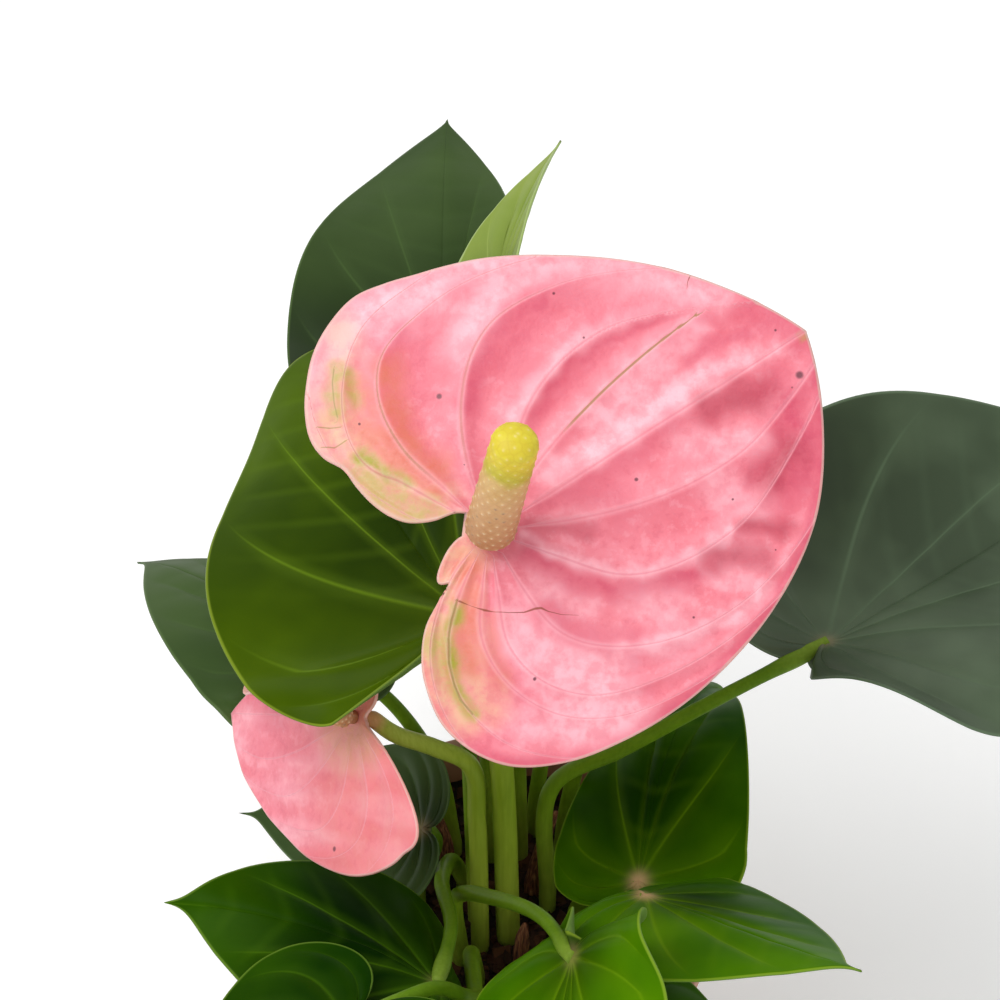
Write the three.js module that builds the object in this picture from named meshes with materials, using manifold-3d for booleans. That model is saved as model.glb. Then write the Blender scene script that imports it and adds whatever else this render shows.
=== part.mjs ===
// Potted pink anthurium, in millimetres, Z up.
// The origin is the middle of the flat underside of the pot.
// The plant is seen from its front along +Y, so +X is its right side.
import * as THREE from 'three';
import { mergeVertices } from 'three/addons/utils/BufferGeometryUtils.js';
import manifoldModule from 'manifold-3d';

const manifold = await manifoldModule();
manifold.setup();

// Pot and potting mix.
const POT_HEIGHT = 104;
const POT_FOOT_RADIUS = 37;
const POT_RIM_RADIUS = 50;
const POT_WALL = 2;
const POT_FLOOR = 3;
const RIM_BAND_HEIGHT = 12;
const RIM_BAND_OUT = 2;
const DRAIN_HOLES = 6;
const DRAIN_HOLE_RADIUS = 4;
const DRAIN_RING_RADIUS = 25;
const MIX_TOP = 95;
const MIX_MOUND = 2;
const STEM_DEPTH = 12;
const STEM_CLEARANCE = 0.6;
const FIT_GAP = 0.3;

// Leaf blades and the stalks that carry them.
const LEAF_THICKNESS = 0.9;
const LEAF_EDGE_THICKNESS = 0.6;
const LEAF_PUCKER = 0.8;
const STALK_FOOT_RADIUS = 2.2;
const STALK_TOP_RADIUS = 1.5;
const KNUCKLE_SWELL = 0.5;
const STALK_SIDES = 6;
const STALK_STEPS = 8;
const LEAF_VEINS = [0, 35, 66, 98, 129, 165];
const LEAF_COLUMNS = [0, 7, 18, 35, 50, 66, 82, 98, 114, 129, 143, 155, 165, 173];
const LEAF_RINGS = [0.18, 0.45, 0.72, 1];

// Each leaf: where its stalk joins the blade (at), where the stalk stands in the mix (foot),
// the compass turn of its midrib, its lift and roll in degrees, its sizes, and how it curves.
// arch bends the midrib down to the tip, drop bends the two lobes down behind the stalk,
// fold and cup raise the left and right halves, ripple waves the edge, via leads the stalk.
// rightShare and rightBlunt narrow a right half and fill out its shoulder.
const LEAVES = [
  { name: 'leaf_left_glossy', at: [-9.5, -9, 224], foot: [-9, -1], turn: 123.5, lift: 1, roll: -46,
    length: 111, lobe: 12, width: 100, blunt: 0.55, point: 0.08, arch: 36, drop: -20,
    fold: [28, 8], cup: [3, 5], twist: 2, ripple: 3.7, ripples: 5.4, phase: 10, sinus: 150,
    via: [[-10, -1, 150], [-11, -4, 200]] },
  { name: 'leaf_back_tall', at: [-17.5, 97, 194], foot: [-5, 18], turn: 91, lift: 11.5, roll: -5,
    length: 91, lobe: 35, width: 80.5, blunt: 0.31, point: 0.06, arch: 25, drop: 40,
    fold: [-5, -5], cup: [0, 0], ripple: 2.1, ripples: 5, phase: 83, rightShare: 0.51, rightBlunt: 0.22 },
  { name: 'leaf_back_young', at: [-4.2, 86.7, 228], foot: [2, 19], turn: 77.5, lift: 13, roll: -30.5,
    length: 49.5, lobe: 8, width: 27, blunt: 0.67, point: 0.12, arch: 17, drop: 30,
    fold: [12, 21], cup: [19, 30], twist: -15, via: [[1, 24, 150], [-1, 42, 205]] },
  { name: 'leaf_right_wide', at: [73, 11, 190], foot: [9, 3], turn: 38.5, lift: -5.5, roll: -26,
    length: 116, lobe: 24, width: 108, blunt: 0.5, point: 0.06, arch: 1, drop: 0,
    fold: [18, 5], cup: [18.5, -24.5], twist: 36, ripple: 4.7, ripples: 5, phase: 80,
    via: [[10, 2, 148], [26, -1, 166], [48, 1, 183]] },
  { name: 'leaf_left_far', at: [-51, 26, 168], foot: [-15, 20], turn: 128.5, lift: -5, roll: 8,
    length: 71, lobe: 28, width: 70, blunt: 1.26, point: 0.09, arch: 31, drop: 57,
    fold: [-4.5, -4.5], cup: [-5, -5], via: [[-19, 24, 125], [-32, 28, 150]] },
  { name: 'leaf_left_low', at: [-21.5, 0, 132], foot: [-24, 3], turn: 149.5, lift: -30.5, roll: -34,
    length: 57, lobe: 12, width: 53.5, blunt: 1.07, point: 0.12, arch: -4, drop: 9,
    fold: [11.5, 11.5], cup: [6.5, 6.5] },
  { name: 'leaf_front_left', at: [-17.5, -54, 146.5], foot: [-12, 8], turn: 159, lift: 26, roll: 28,
    length: 60, lobe: 25.5, width: 84, blunt: 0.94, point: 0.1, arch: 30.5, drop: 50,
    fold: [-6, -6], cup: [-13, -13.5], twist: -35, ripple: -1.4, ripples: 5, phase: 0,
    via: [[-15, 2, 116], [-17, -17, 134], [-14.5, -35, 142]] },
  { name: 'leaf_front_low_left', at: [-36, -77.3, 166.5], foot: [-9, -20], turn: -129, lift: -10, roll: 14,
    length: 80, lobe: 25, width: 74, blunt: 0.87, point: 0.06, arch: 30, drop: 20,
    fold: [1, 1], cup: [-1, -1], via: [[-10, -28, 120], [-9, -47, 131], [-11, -57, 147], [-19, -66, 164]] },
  { name: 'leaf_front', at: [13.5, -62.7, 171.5], foot: [-13, -13], turn: -100, lift: -17.5, roll: 57,
    length: 90, lobe: 19.5, width: 64, blunt: 0.58, point: 0.06, arch: 37.5, drop: 55,
    fold: [-1.5, 5.5], cup: [-9.5, 5], ripple: -4, ripples: 5, phase: 19,
    via: [[-13.5, -17, 128], [-4, -31, 148], [7, -49, 166]] },
  { name: 'leaf_front_low_right', at: [29, -62, 145.5], foot: [8, -17], turn: -45.5, lift: -13.5,
    roll: -25.5, length: 78, lobe: 25, width: 58.5, blunt: 1.05, point: 0.06, arch: 29, drop: 40,
    fold: [-1, -1], cup: [-6, -6] },
  { name: 'leaf_right_upper', at: [30.5, -15.3, 132], foot: [16, -3], turn: 81, lift: 16.5, roll: -14,
    length: 91, lobe: 16, width: 60.5, blunt: 0.99, point: 0.07, arch: 67.5, drop: 52,
    fold: [-6, -6], cup: [-19, -19], ripple: 1.4, ripples: 5, phase: -10, sinus: 150 },
  { name: 'leaf_right_lower', at: [30.5, -35.7, 155], foot: [17, -13], turn: -41, lift: 22, roll: -28.5,
    length: 58, lobe: 22, width: 70.5, blunt: 0.82, point: 0.09, arch: -5, drop: 40,
    fold: [-6, -6], cup: [5, -24], twist: -1 },
  { name: 'leaf_back_right', at: [28, 38, 164], foot: [13, 18], turn: 52, lift: -8, roll: 0,
    length: 62, lobe: 20, width: 54, blunt: 0.9, point: 0.07, arch: 32, drop: 40,
    fold: [6, 6], cup: [4, 4], ripple: 1, ripples: 5, phase: 40 },
  { name: 'leaf_back_low', at: [13, 51, 138], foot: [6, 27], turn: 80, lift: -10, roll: 4,
    length: 62, lobe: 18, width: 54, blunt: 0.9, point: 0.07, arch: 30, drop: 40,
    fold: [6, 6], cup: [4, 4], ripple: 1, ripples: 5, phase: 140 },
  { name: 'leaf_right_under', at: [24, 6, 120], foot: [20, 2], turn: 24, lift: -6, roll: 0,
    length: 32, lobe: 11, width: 28, blunt: 0.9, point: 0.07, arch: 30, drop: 40,
    fold: [6, 6], cup: [4, 4] },
  { name: 'leaf_front_under', at: [-11, -64, 121], foot: [-1, -24], turn: -94, lift: -12, roll: 0,
    length: 66, lobe: 20, width: 56, blunt: 0.9, point: 0.07, arch: 30, drop: 40,
    fold: [6, 6], cup: [4, 4], ripple: 1, ripples: 5, phase: 90 },
];

// Flowers. left and right give the outline of each half in the spathe's plane, from the tip round
// to the notch, in rows: a column's angle, how far from the stalk it ends, and, where the lobes curl
// round the notch, the angle at which it ends and the angle at which it leaves the seat.
// fold turns the right half up.
const SPATHE_THICKNESS = 1;
const SPATHE_EDGE_THICKNESS = 0.8;
const SEAT_RADIUS = 5;
const MAIN_FLOWER = {
  name: 'main', at: [-5, -24.5, 270], foot: [-1, -6], turn: 28, lift: 17.6, roll: 29.6,
  left: [
    [0, 77], [15, 69.5], [30, 63.6], [45, 59.4, 45, 37], [60, 57.5, 60, 45], [72, 56.4, 72, 51],
    [80, 56.8, 80, 55], [87, 57.1, 87, 58], [94, 55.3, 94, 61.5], [101, 52.6, 101, 65], [108, 48.8, 108, 68.5],
    [114, 45.4, 114, 71.5], [120, 41.5, 119.6, 74.5], [125, 37.4, 122.7, 77], [130, 32.6, 123.8, 79.5],
    [135, 28.5, 128.5, 82], [140, 24.5, 133.5, 84.5], [145, 20.5, 137.8, 87], [150, 17, 139.8, 89.5],
    [155, 14, 138.3, 92], [160, 11.6, 134, 94.5], [165, 10, 127.5, 97], [170, 8.6, 119.5, 99.5],
    [175, 7.3, 112.5, 102], [180, 6.2, 107.5, 104.5],
  ],
  right: [
    [0, 77], [15, 71.5], [30, 66.5], [45, 60.6], [60, 55.6], [75, 52.2], [90, 50], [105, 48.9],
    [120, 46.9], [135, 41], [145, 33.9], [150, 29.8, 150], [155, 23.5, 156], [160, 18.3, 158.2],
    [165, 13.3, 160.5, 166], [170, 14.6, 168.8, 175], [175, 10.6, 183, 188], [180, 5.6, 203, 203],
  ],
  leftVeins: [0, 20, 44, 77, 104, 124, 142], rightVeins: [0, 22, 48, 92, 115, 131, 149, 166],
  length: 77, halfWidth: 55, pucker: 1.3, droop: 4, tipDrop: 0, fold: 0, columns: 72, rings: 6,
  stalkRadius: [3, 2.5], via: [[-2, -8, 150], [-4.5, -15, 220], [-5, -19.5, 255]],
  spadixLength: 35.5, spadixRadius: 5.3, spadixLean: [0.15, -0.161, 0.977],
  spadixSides: 16, spadixRings: 21, floret: 0.35,
};
const SECOND_FLOWER = {
  name: 'second', at: [-35, -18, 200], foot: [-8, -9], turn: 143.7, lift: -35.7, roll: -45.3,
  left: [
    [0, 51.5], [15, 47.3], [30, 41.8], [45, 38], [60, 36.2], [75, 35.2], [90, 34.9], [105, 34.6],
    [120, 34.2], [135, 32], [150, 8], [165, 4], [180, 3.2],
  ],
  right: [
    [0, 51.5], [15, 36], [30, 27], [45, 22], [60, 19], [75, 17], [90, 15], [105, 13],
    [120, 11], [135, 9], [150, 7], [165, 4], [180, 3.2],
  ],
  leftVeins: [0, 22, 48, 84, 112, 130], rightVeins: [0, 22, 48, 84, 112, 140],
  length: 51.5, halfWidth: 34.9, pucker: 0.8, droop: 3, tipDrop: 3, fold: 72, columns: 40, rings: 4,
  stalkRadius: [2.3, 1.9], via: [[-8.5, -9, 148], [-10, -9.5, 171], [-18, -12, 181], [-27, -16, 191.5]],
  spadixLength: 13, spadixRadius: 2.6, spadixLean: [-0.7, -0.25, 0.62],
  spadixSides: 10, spadixRings: 9, floret: 0.25,
};

// Dry brown sheaths left standing round the crown.
const SHEATHS = [
  { name: 'sheath_right', foot: [5, 8], height: 28, radius: 2.4, lean: [6, 4] },
  { name: 'sheath_front', foot: [2, -13], height: 20, radius: 2.2, lean: [1, -3] },
  { name: 'sheath_back', foot: [-16, 14], height: 24, radius: 2.2, lean: [-3, 2] },
];

const COLOURS = {
  pot: [0xa8603c, 0.6], mix: [0x2b1d14, 0.95], leaf: [0x3f6a12, 0.35], spathe: [0xf2879a, 0.35],
  spadix: [0xe8d58a, 0.6], flowerStalk: [0x5e7f12, 0.45], sheath: [0x6b4226, 0.9],
};

const { degToRad: rad, smoothstep, clamp } = THREE.MathUtils;
const vec = (list) => new THREE.Vector3(...list);

// Turning points and faces, or a closed three.js geometry, into a solid.
function toSolid({ points, faces }) {
  return new manifold.Manifold(new manifold.Mesh({
    numProp: 3,
    vertProperties: new Float32Array(points.flatMap((p) => [p.x, p.y, p.z])),
    triVerts: new Uint32Array(faces.flat()),
  }));
}

function solidFrom(geometry) {
  const bare = new THREE.BufferGeometry();
  bare.setAttribute('position', geometry.getAttribute('position'));
  bare.setIndex(geometry.getIndex());
  const merged = mergeVertices(bare, 1e-4);
  const place = merged.getAttribute('position');
  const corners = Array.from(merged.getIndex().array);
  const points = Array.from({ length: place.count }, (_, i) => new THREE.Vector3().fromBufferAttribute(place, i));
  const faces = [];
  for (let i = 0; i < corners.length; i += 3) {
    const face = corners.slice(i, i + 3);
    if (new Set(face).size === 3) {
      faces.push(face);
    }
  }
  return toSolid({ points, faces });
}

function addNode(group, name, solid, [colour, roughness]) {
  const { vertProperties, triVerts } = solid.getMesh();
  const geometry = new THREE.BufferGeometry();
  geometry.setAttribute('position', new THREE.BufferAttribute(new Float32Array(vertProperties), 3));
  geometry.setIndex(new THREE.BufferAttribute(new Uint32Array(triVerts), 1));
  geometry.computeVertexNormals();
  const material = new THREE.MeshStandardMaterial({ color: colour, roughness, metalness: 0 });
  const mesh = new THREE.Mesh(geometry, material);
  mesh.name = name;
  group.add(mesh);
}

// A body of revolution about Z from a profile of radius and height that starts and ends on the axis.
function turned(profile, segments) {
  const outline = profile.map(([radius, height]) => new THREE.Vector2(radius, height));
  return solidFrom(new THREE.LatheGeometry(outline, segments).rotateX(Math.PI / 2));
}

function upright(radius, from, to, segments, x, y) {
  const geometry = new THREE.CylinderGeometry(radius, radius, to - from, segments);
  return solidFrom(geometry.rotateX(Math.PI / 2).translate(x, y, (from + to) / 2));
}

// A round bar along a path, with a radius at each path point. A bump raises every second corner
// of every second ring in turn, which covers the bar with small staggered heads.
function bar(path, radii, sides, bump = 0) {
  const points = [path[0].clone()];
  const faces = [];
  let side = vec([1, 0, 0]);
  path.forEach((p, i) => {
    const before = path[Math.max(i - 1, 0)];
    const after = path[Math.min(i + 1, path.length - 1)];
    const along = after.clone().sub(before).normalize();
    side = side.clone().addScaledVector(along, -side.dot(along)).normalize();
    const other = along.clone().cross(side);
    for (let k = 0; k < sides; k += 1) {
      const a = (2 * Math.PI * k) / sides;
      const head = i % 2 === 0 && (k + i / 2) % 2 === 0 && i > 0 && i < path.length - 2;
      const r = radii[i] + (head ? bump : 0);
      points.push(p.clone().addScaledVector(side, r * Math.cos(a)).addScaledVector(other, r * Math.sin(a)));
    }
  });
  const last = points.length;
  points.push(path.at(-1).clone());
  for (let k = 0; k < sides; k += 1) {
    const n = (k + 1) % sides;
    faces.push([0, 1 + n, 1 + k]);
    for (let i = 0; i < path.length - 1; i += 1) {
      const a = 1 + i * sides;
      const b = a + sides;
      faces.push([a + k, a + n, b + n], [a + k, b + n, b + k]);
    }
    const top = 1 + (path.length - 1) * sides;
    faces.push([top + k, top + n, last]);
  }
  return toSolid({ points, faces });
}

// A thin sheet spread round a centre: rings of mid-surface points, thinner toward the edge.
// spread is how far out each ring lies, from 0 to 1. With seatUp, the first ring is a flat seat.
function sheet(centre, rings, spread, thickness, edgeThickness, seatUp = null) {
  const columns = rings[0].length;
  const normalAt = (i, k) => {
    if (seatUp && i === 0) {
      return seatUp;
    }
    const inside = i === 0 ? centre : rings[i - 1][k];
    const outside = rings[Math.min(i + 1, rings.length - 1)][k];
    const before = rings[i][(k + columns - 1) % columns];
    const after = rings[i][(k + 1) % columns];
    return outside.clone().sub(inside).cross(after.clone().sub(before)).normalize();
  };
  const half = (i) => (thickness + (edgeThickness - thickness) * spread[i]) / 2;
  const middle = rings[0].reduce((sum, _, k) => sum.add(normalAt(0, k)), vec([0, 0, 0])).normalize();
  const points = [];
  const faces = [];
  for (const face of [1, -1]) {
    points.push(centre.clone().addScaledVector(middle, (face * thickness) / 2));
    rings.forEach((ring, i) => {
      ring.forEach((p, k) => points.push(p.clone().addScaledVector(normalAt(i, k), face * half(i))));
    });
  }
  const below = 1 + rings.length * columns;
  for (let k = 0; k < columns; k += 1) {
    const n = (k + 1) % columns;
    faces.push([0, 1 + k, 1 + n], [below, below + 1 + n, below + 1 + k]);
    for (let i = 0; i < rings.length - 1; i += 1) {
      const a = 1 + i * columns;
      const b = a + columns;
      faces.push([a + k, b + k, b + n], [a + k, b + n, a + n]);
      faces.push([below + a + k, below + b + n, below + b + k]);
      faces.push([below + a + k, below + a + n, below + b + n]);
    }
    const rim = 1 + (rings.length - 1) * columns;
    faces.push([rim + k, below + rim + k, below + rim + n], [rim + k, below + rim + n, rim + n]);
  }
  return toSolid({ points, faces });
}

// The axes of a blade: X along the midrib to the tip, Y to its left, Z out of its upper face.
function bladeFrame({ at, turn, lift, roll }) {
  const turning = new THREE.Matrix4().makeRotationZ(rad(turn));
  turning.multiply(new THREE.Matrix4().makeRotationY(rad(-lift)));
  turning.multiply(new THREE.Matrix4().makeRotationX(rad(roll)));
  return turning.setPosition(...at);
}

function bladeAxes(blade) {
  const axes = [new THREE.Vector3(), new THREE.Vector3(), new THREE.Vector3()];
  bladeFrame(blade).extractBasis(...axes);
  return axes;
}

// How far a place lies between two veins, as a swelling from 0 on a vein to 1 midway.
function swelling(angle, veins) {
  const a = Math.abs(angle);
  for (let i = 0; i < veins.length - 1; i += 1) {
    if (a >= veins[i] && a <= veins[i + 1]) {
      return Math.sin((Math.PI * (a - veins[i])) / (veins[i + 1] - veins[i]));
    }
  }
  return 0;
}

// The heart-shaped outline of a leaf, flattened out, at an angle from its tip.
function leafEdge(leaf, degrees) {
  const a = Math.abs(rad(degrees));
  const sinus = rad(leaf.sinus ?? 172);
  const shoulder = rad(120);
  const widest = 0.15 * leaf.length;
  const reach = Math.cos(a) > 0 ? leaf.length - widest : leaf.lobe + widest;
  const x = widest + reach * Math.cos(a) + leaf.point * leaf.length * Math.exp(-a / 0.13);
  const [share, blunt] = degrees < 0 ? [leaf.rightShare ?? 1, leaf.rightBlunt ?? leaf.blunt] : [1, leaf.blunt];
  const y = share * (leaf.width / 2) * Math.sin(a) * (1 - Math.exp(-a / blunt));
  const notch = clamp((a - shoulder) / (sinus - shoulder), 0, 1);
  const pinch = Math.sqrt(1 - 0.95 * notch * notch);
  return [x * pinch, Math.sign(degrees) * y * pinch];
}

// Where the bent midrib lies, and its slope, at a distance x along it from the stalk.
function midribAt(leaf, x) {
  const steps = 24;
  const slope = (s) => (s > 0 ? rad(leaf.arch) * (s / leaf.length) : -rad(leaf.drop) * (1 - Math.exp(s / 9)));
  let along = 0;
  let down = 0;
  for (let i = 0; i < steps; i += 1) {
    const a = slope((x * (i + 0.5)) / steps);
    along += (Math.cos(a) * x) / steps;
    down += (Math.sin(a) * x) / steps;
  }
  return [along, -down, slope(x)];
}

// A point of the blade, in its own axes, at an angle from the tip and a share rho of the way out.
function bladePoint(leaf, degrees, rho) {
  const [edgeX, edgeY] = leafEdge(leaf, degrees);
  const x = edgeX * rho;
  const y = edgeY * rho;
  const side = y < 0 ? 1 : 0;
  const half = leaf.width / 2;
  const fold = rad(leaf.fold[side]);
  const cup = Math.abs(leaf.cup[side]) < 0.01 ? 1e-4 : rad(leaf.cup[side]);
  const v = Math.abs(y) / half;
  const flatAcross = (Math.sign(y) * (Math.sin(fold + cup * v) - Math.sin(fold)) * half) / cup;
  const flatHigh = ((Math.cos(fold) - Math.cos(fold + cup * v)) * half) / cup;
  const twist = (rad(leaf.twist ?? 0) * x) / leaf.length;
  const across = flatAcross * Math.cos(twist) - flatHigh * Math.sin(twist);
  let high = flatAcross * Math.sin(twist) + flatHigh * Math.cos(twist);
  if (leaf.ripple) {
    high += leaf.ripple * rho ** 3 * Math.sin(leaf.ripples * rad(degrees) + rad(leaf.phase));
  }
  high += LEAF_PUCKER * Math.sin(Math.PI * Math.min(rho, 0.95)) * swelling(degrees, LEAF_VEINS);
  const [along, down, slope] = midribAt(leaf, x);
  return new THREE.Vector3(along + high * Math.sin(slope), across, down + high * Math.cos(slope));
}

// A stalk rises straight out of its hole in the mix, then leans over to meet what it carries.
function stalkPath({ foot, via }, end, arriving, steps) {
  const base = vec([...foot, MIX_TOP - STEM_DEPTH]);
  const clear = vec([...foot, MIX_TOP + 4]);
  if (via) {
    const route = new THREE.CatmullRomCurve3([clear, ...via.map(vec), end]);
    return [base, ...route.getPoints(steps)];
  }
  const span = end.distanceTo(clear);
  const straightUp = clear.clone().add(vec([0, 0, span * 0.4]));
  const before = end.clone().addScaledVector(arriving, -span * 0.28);
  const curve = new THREE.CubicBezierCurve3(clear, straightUp, before, end);
  return [base, ...curve.getPoints(steps)];
}

function stalkRadii(count, foot, top, knuckle = 0) {
  return Array.from({ length: count }, (_, i) => {
    const s = i / (count - 1);
    return foot + (top - foot) * s + knuckle * Math.exp(-(((s - 0.93) / 0.05) ** 2));
  });
}

// A leaf: the blade and its stalk, grown as one.
function makeLeaf(leaf) {
  const frame = bladeFrame(leaf);
  const columns = [...LEAF_COLUMNS, 180, ...LEAF_COLUMNS.slice(1).reverse().map((a) => -a)];
  const centre = bladePoint(leaf, 0, 0).applyMatrix4(frame);
  const rings = LEAF_RINGS.map((rho) => columns.map((a) => bladePoint(leaf, a, rho).applyMatrix4(frame)));
  const blade = sheet(centre, rings, LEAF_RINGS, LEAF_THICKNESS, LEAF_EDGE_THICKNESS);
  const [forward, , up] = bladeAxes(leaf);
  const arriving = up.multiplyScalar(0.8).addScaledVector(forward, 0.35).normalize();
  const path = stalkPath(leaf, centre, arriving, STALK_STEPS);
  const radii = stalkRadii(path.length, STALK_FOOT_RADIUS, STALK_TOP_RADIUS, KNUCKLE_SWELL);
  return blade.add(bar(path, radii, STALK_SIDES));
}

// Where a column of a spathe ends, by a smooth curve through the rows of its half's outline:
// its distance from the stalk, its angle there, and its angle at the seat.
function spatheEdge(flower, column) {
  const half = column < 0 ? flower.right : flower.left;
  const rows = half.map(([a, distance, ending = a, leaving = a]) => [a, distance, ending, leaving]);
  const a = Math.abs(column);
  const last = rows.length - 1;
  const i = clamp(rows.findIndex(([angle]) => angle >= a) - 1, 0, last - 1);
  const span = rows[i + 1][0] - rows[i][0];
  const f = (a - rows[i][0]) / span;
  const slope = (k, n) => {
    const before = rows[Math.max(k - 1, 0)];
    const after = rows[Math.min(k + 1, last)];
    return (span * (after[n] - before[n])) / (after[0] - before[0]);
  };
  return [1, 2, 3].map((n) => {
    const start = (2 * f ** 3 - 3 * f ** 2 + 1) * rows[i][n] + (f ** 3 - 2 * f ** 2 + f) * slope(i, n);
    return start + (3 * f ** 2 - 2 * f ** 3) * rows[i + 1][n] + (f ** 3 - f ** 2) * slope(i + 1, n);
  });
}

// A point of the spathe, in its own axes: puckered between veins that run round toward the tip,
// with its sides and tip bent back, and flat where the spadix stands. A column that swings out
// beyond its angle at the seat does so late, so that columns never cross.
function spathePoint(flower, column, rho) {
  const [edge, ending, leaving] = spatheEdge(flower, column);
  const seat = Math.min(SEAT_RADIUS, 0.8 * edge);
  const curl = smoothstep(ending - leaving, 0, 12);
  const r = seat + (edge - seat) * rho ** (1 - 0.25 * curl);
  const degrees = Math.sign(column) * (leaving + (ending - leaving) * rho ** (1 + 0.5 * curl));
  const x = r * Math.cos(rad(degrees));
  const y = r * Math.sin(rad(degrees));
  const out = r / edge;
  const veins = (degrees < 0 ? flower.rightVeins : flower.leftVeins)
    .map((start) => start * (1 - clamp(0.75 - (start - 95) / 106, 0.2, 0.75) * out ** 4));
  const swell = flower.pucker * swelling(degrees, veins) * Math.sin(Math.PI * Math.min(out, 0.96));
  const sides = flower.droop * (y / flower.halfWidth) ** 2;
  const tip = flower.tipDrop * (Math.max(x, 0) / flower.length) ** 2;
  const high = smoothstep(r, seat, 2.6 * SEAT_RADIUS) * (swell - sides - tip);
  const turnedUp = y < 0 ? rad(flower.fold) * smoothstep(-y, SEAT_RADIUS, 2.5 * SEAT_RADIUS) : 0;
  return new THREE.Vector3(x, y * Math.cos(turnedUp), high * Math.cos(turnedUp) - y * Math.sin(turnedUp));
}

function makeSpathe(flower) {
  const frame = bladeFrame(flower);
  const [, , up] = bladeAxes(flower);
  const angles = Array.from({ length: flower.columns }, (_, k) => -180 + (360 * k) / flower.columns);
  const spread = Array.from({ length: flower.rings + 1 }, (_, i) => i / flower.rings);
  const rings = spread.map((rho) => angles.map((a) => spathePoint(flower, a, rho).applyMatrix4(frame)));
  return sheet(vec(flower.at), rings, spread, SPATHE_THICKNESS, SPATHE_EDGE_THICKNESS, up);
}

function makeFlowerStalk(flower) {
  const [, , up] = bladeAxes(flower);
  const end = vec(flower.at).addScaledVector(up, -SPATHE_THICKNESS / 2 - FIT_GAP);
  const path = stalkPath(flower, end.clone().addScaledVector(up, -4), up, 12);
  return bar([...path, end], stalkRadii(path.length + 1, ...flower.stalkRadius), 8);
}

// The spadix stands square on its seat, then leans; it is slim at the base and rounded at the top.
function makeSpadix(flower) {
  const [, , up] = bladeAxes(flower);
  const lean = vec(flower.spadixLean).normalize();
  const long = flower.spadixLength;
  const base = vec(flower.at).addScaledVector(up, SPATHE_THICKNESS / 2 + FIT_GAP);
  const start = base.clone().addScaledVector(up, 1.5);
  const curve = new THREE.CubicBezierCurve3(
    start,
    start.clone().addScaledVector(up, long * 0.2),
    base.clone().addScaledVector(lean, long * 0.6),
    base.clone().addScaledVector(lean, long),
  );
  const body = 0.93;
  const cap = [[0.965, 0.7], [0.99, 0.42], [1, 0.14]];
  const stations = Array.from({ length: flower.spadixRings }, (_, i) => (body * i) / (flower.spadixRings - 1));
  const path = [base, ...[...stations, ...cap.map(([s]) => s)].map((s) => curve.getPoint(s))];
  const girth = (s) => flower.spadixRadius * (0.6 + 0.4 * smoothstep(s, 0, 0.14)) * (1 - 0.12 * s);
  const radii = [girth(0), ...stations.map(girth), ...cap.map(([, share]) => girth(body) * share)];
  return bar(path, radii, flower.spadixSides, flower.floret);
}

// A plain nursery pot with a turned rim band and drainage holes.
function makePot() {
  const slope = (POT_RIM_RADIUS - POT_FOOT_RADIUS) / POT_HEIGHT;
  const outside = (z) => POT_FOOT_RADIUS + slope * z;
  const band = POT_HEIGHT - RIM_BAND_HEIGHT;
  const profile = [
    [0, 0], [POT_FOOT_RADIUS - 1.5, 0], [POT_FOOT_RADIUS, 1.5],
    [outside(band), band], [outside(band) + RIM_BAND_OUT, band + 1.5],
    [POT_RIM_RADIUS + RIM_BAND_OUT, POT_HEIGHT - 1.2], [POT_RIM_RADIUS + RIM_BAND_OUT - 1.2, POT_HEIGHT],
    [POT_RIM_RADIUS - POT_WALL + 1, POT_HEIGHT], [POT_RIM_RADIUS - POT_WALL, POT_HEIGHT - 1],
    [outside(POT_FLOOR) - POT_WALL, POT_FLOOR], [0, POT_FLOOR],
  ];
  let pot = turned(profile, 36);
  for (let k = 0; k < DRAIN_HOLES; k += 1) {
    const a = (2 * Math.PI * k) / DRAIN_HOLES;
    const [x, y] = [DRAIN_RING_RADIUS * Math.cos(a), DRAIN_RING_RADIUS * Math.sin(a)];
    pot = pot.subtract(upright(DRAIN_HOLE_RADIUS, -1, POT_FLOOR + 1, 12, x, y));
  }
  return pot;
}

// The potting mix: a plug that fills the pot, slightly mounded, with a plain hole for each stem.
function makeMix(stems) {
  const slope = (POT_RIM_RADIUS - POT_FOOT_RADIUS) / POT_HEIGHT;
  const inside = (z) => POT_FOOT_RADIUS + slope * z - POT_WALL - FIT_GAP;
  const profile = [
    [0, POT_FLOOR], [inside(POT_FLOOR), POT_FLOOR], [inside(MIX_TOP - MIX_MOUND), MIX_TOP - MIX_MOUND],
    [30, MIX_TOP - 0.3], [0, MIX_TOP],
  ];
  let mix = turned(profile, 32);
  for (const [x, y, radius] of stems) {
    mix = mix.subtract(upright(radius + STEM_CLEARANCE, MIX_TOP - STEM_DEPTH, MIX_TOP + 5, 8, x, y));
  }
  return mix;
}

function makeSheath({ foot, height, radius, lean }) {
  const [x, y] = foot;
  const path = [
    vec([x, y, MIX_TOP - STEM_DEPTH]),
    vec([x, y, MIX_TOP + 2]),
    vec([x + lean[0] * 0.4, y + lean[1] * 0.4, MIX_TOP + height * 0.6]),
    vec([x + lean[0], y + lean[1], MIX_TOP + height]),
  ];
  return bar(path, [radius, radius, radius * 0.7, 0.4], 7);
}

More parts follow.
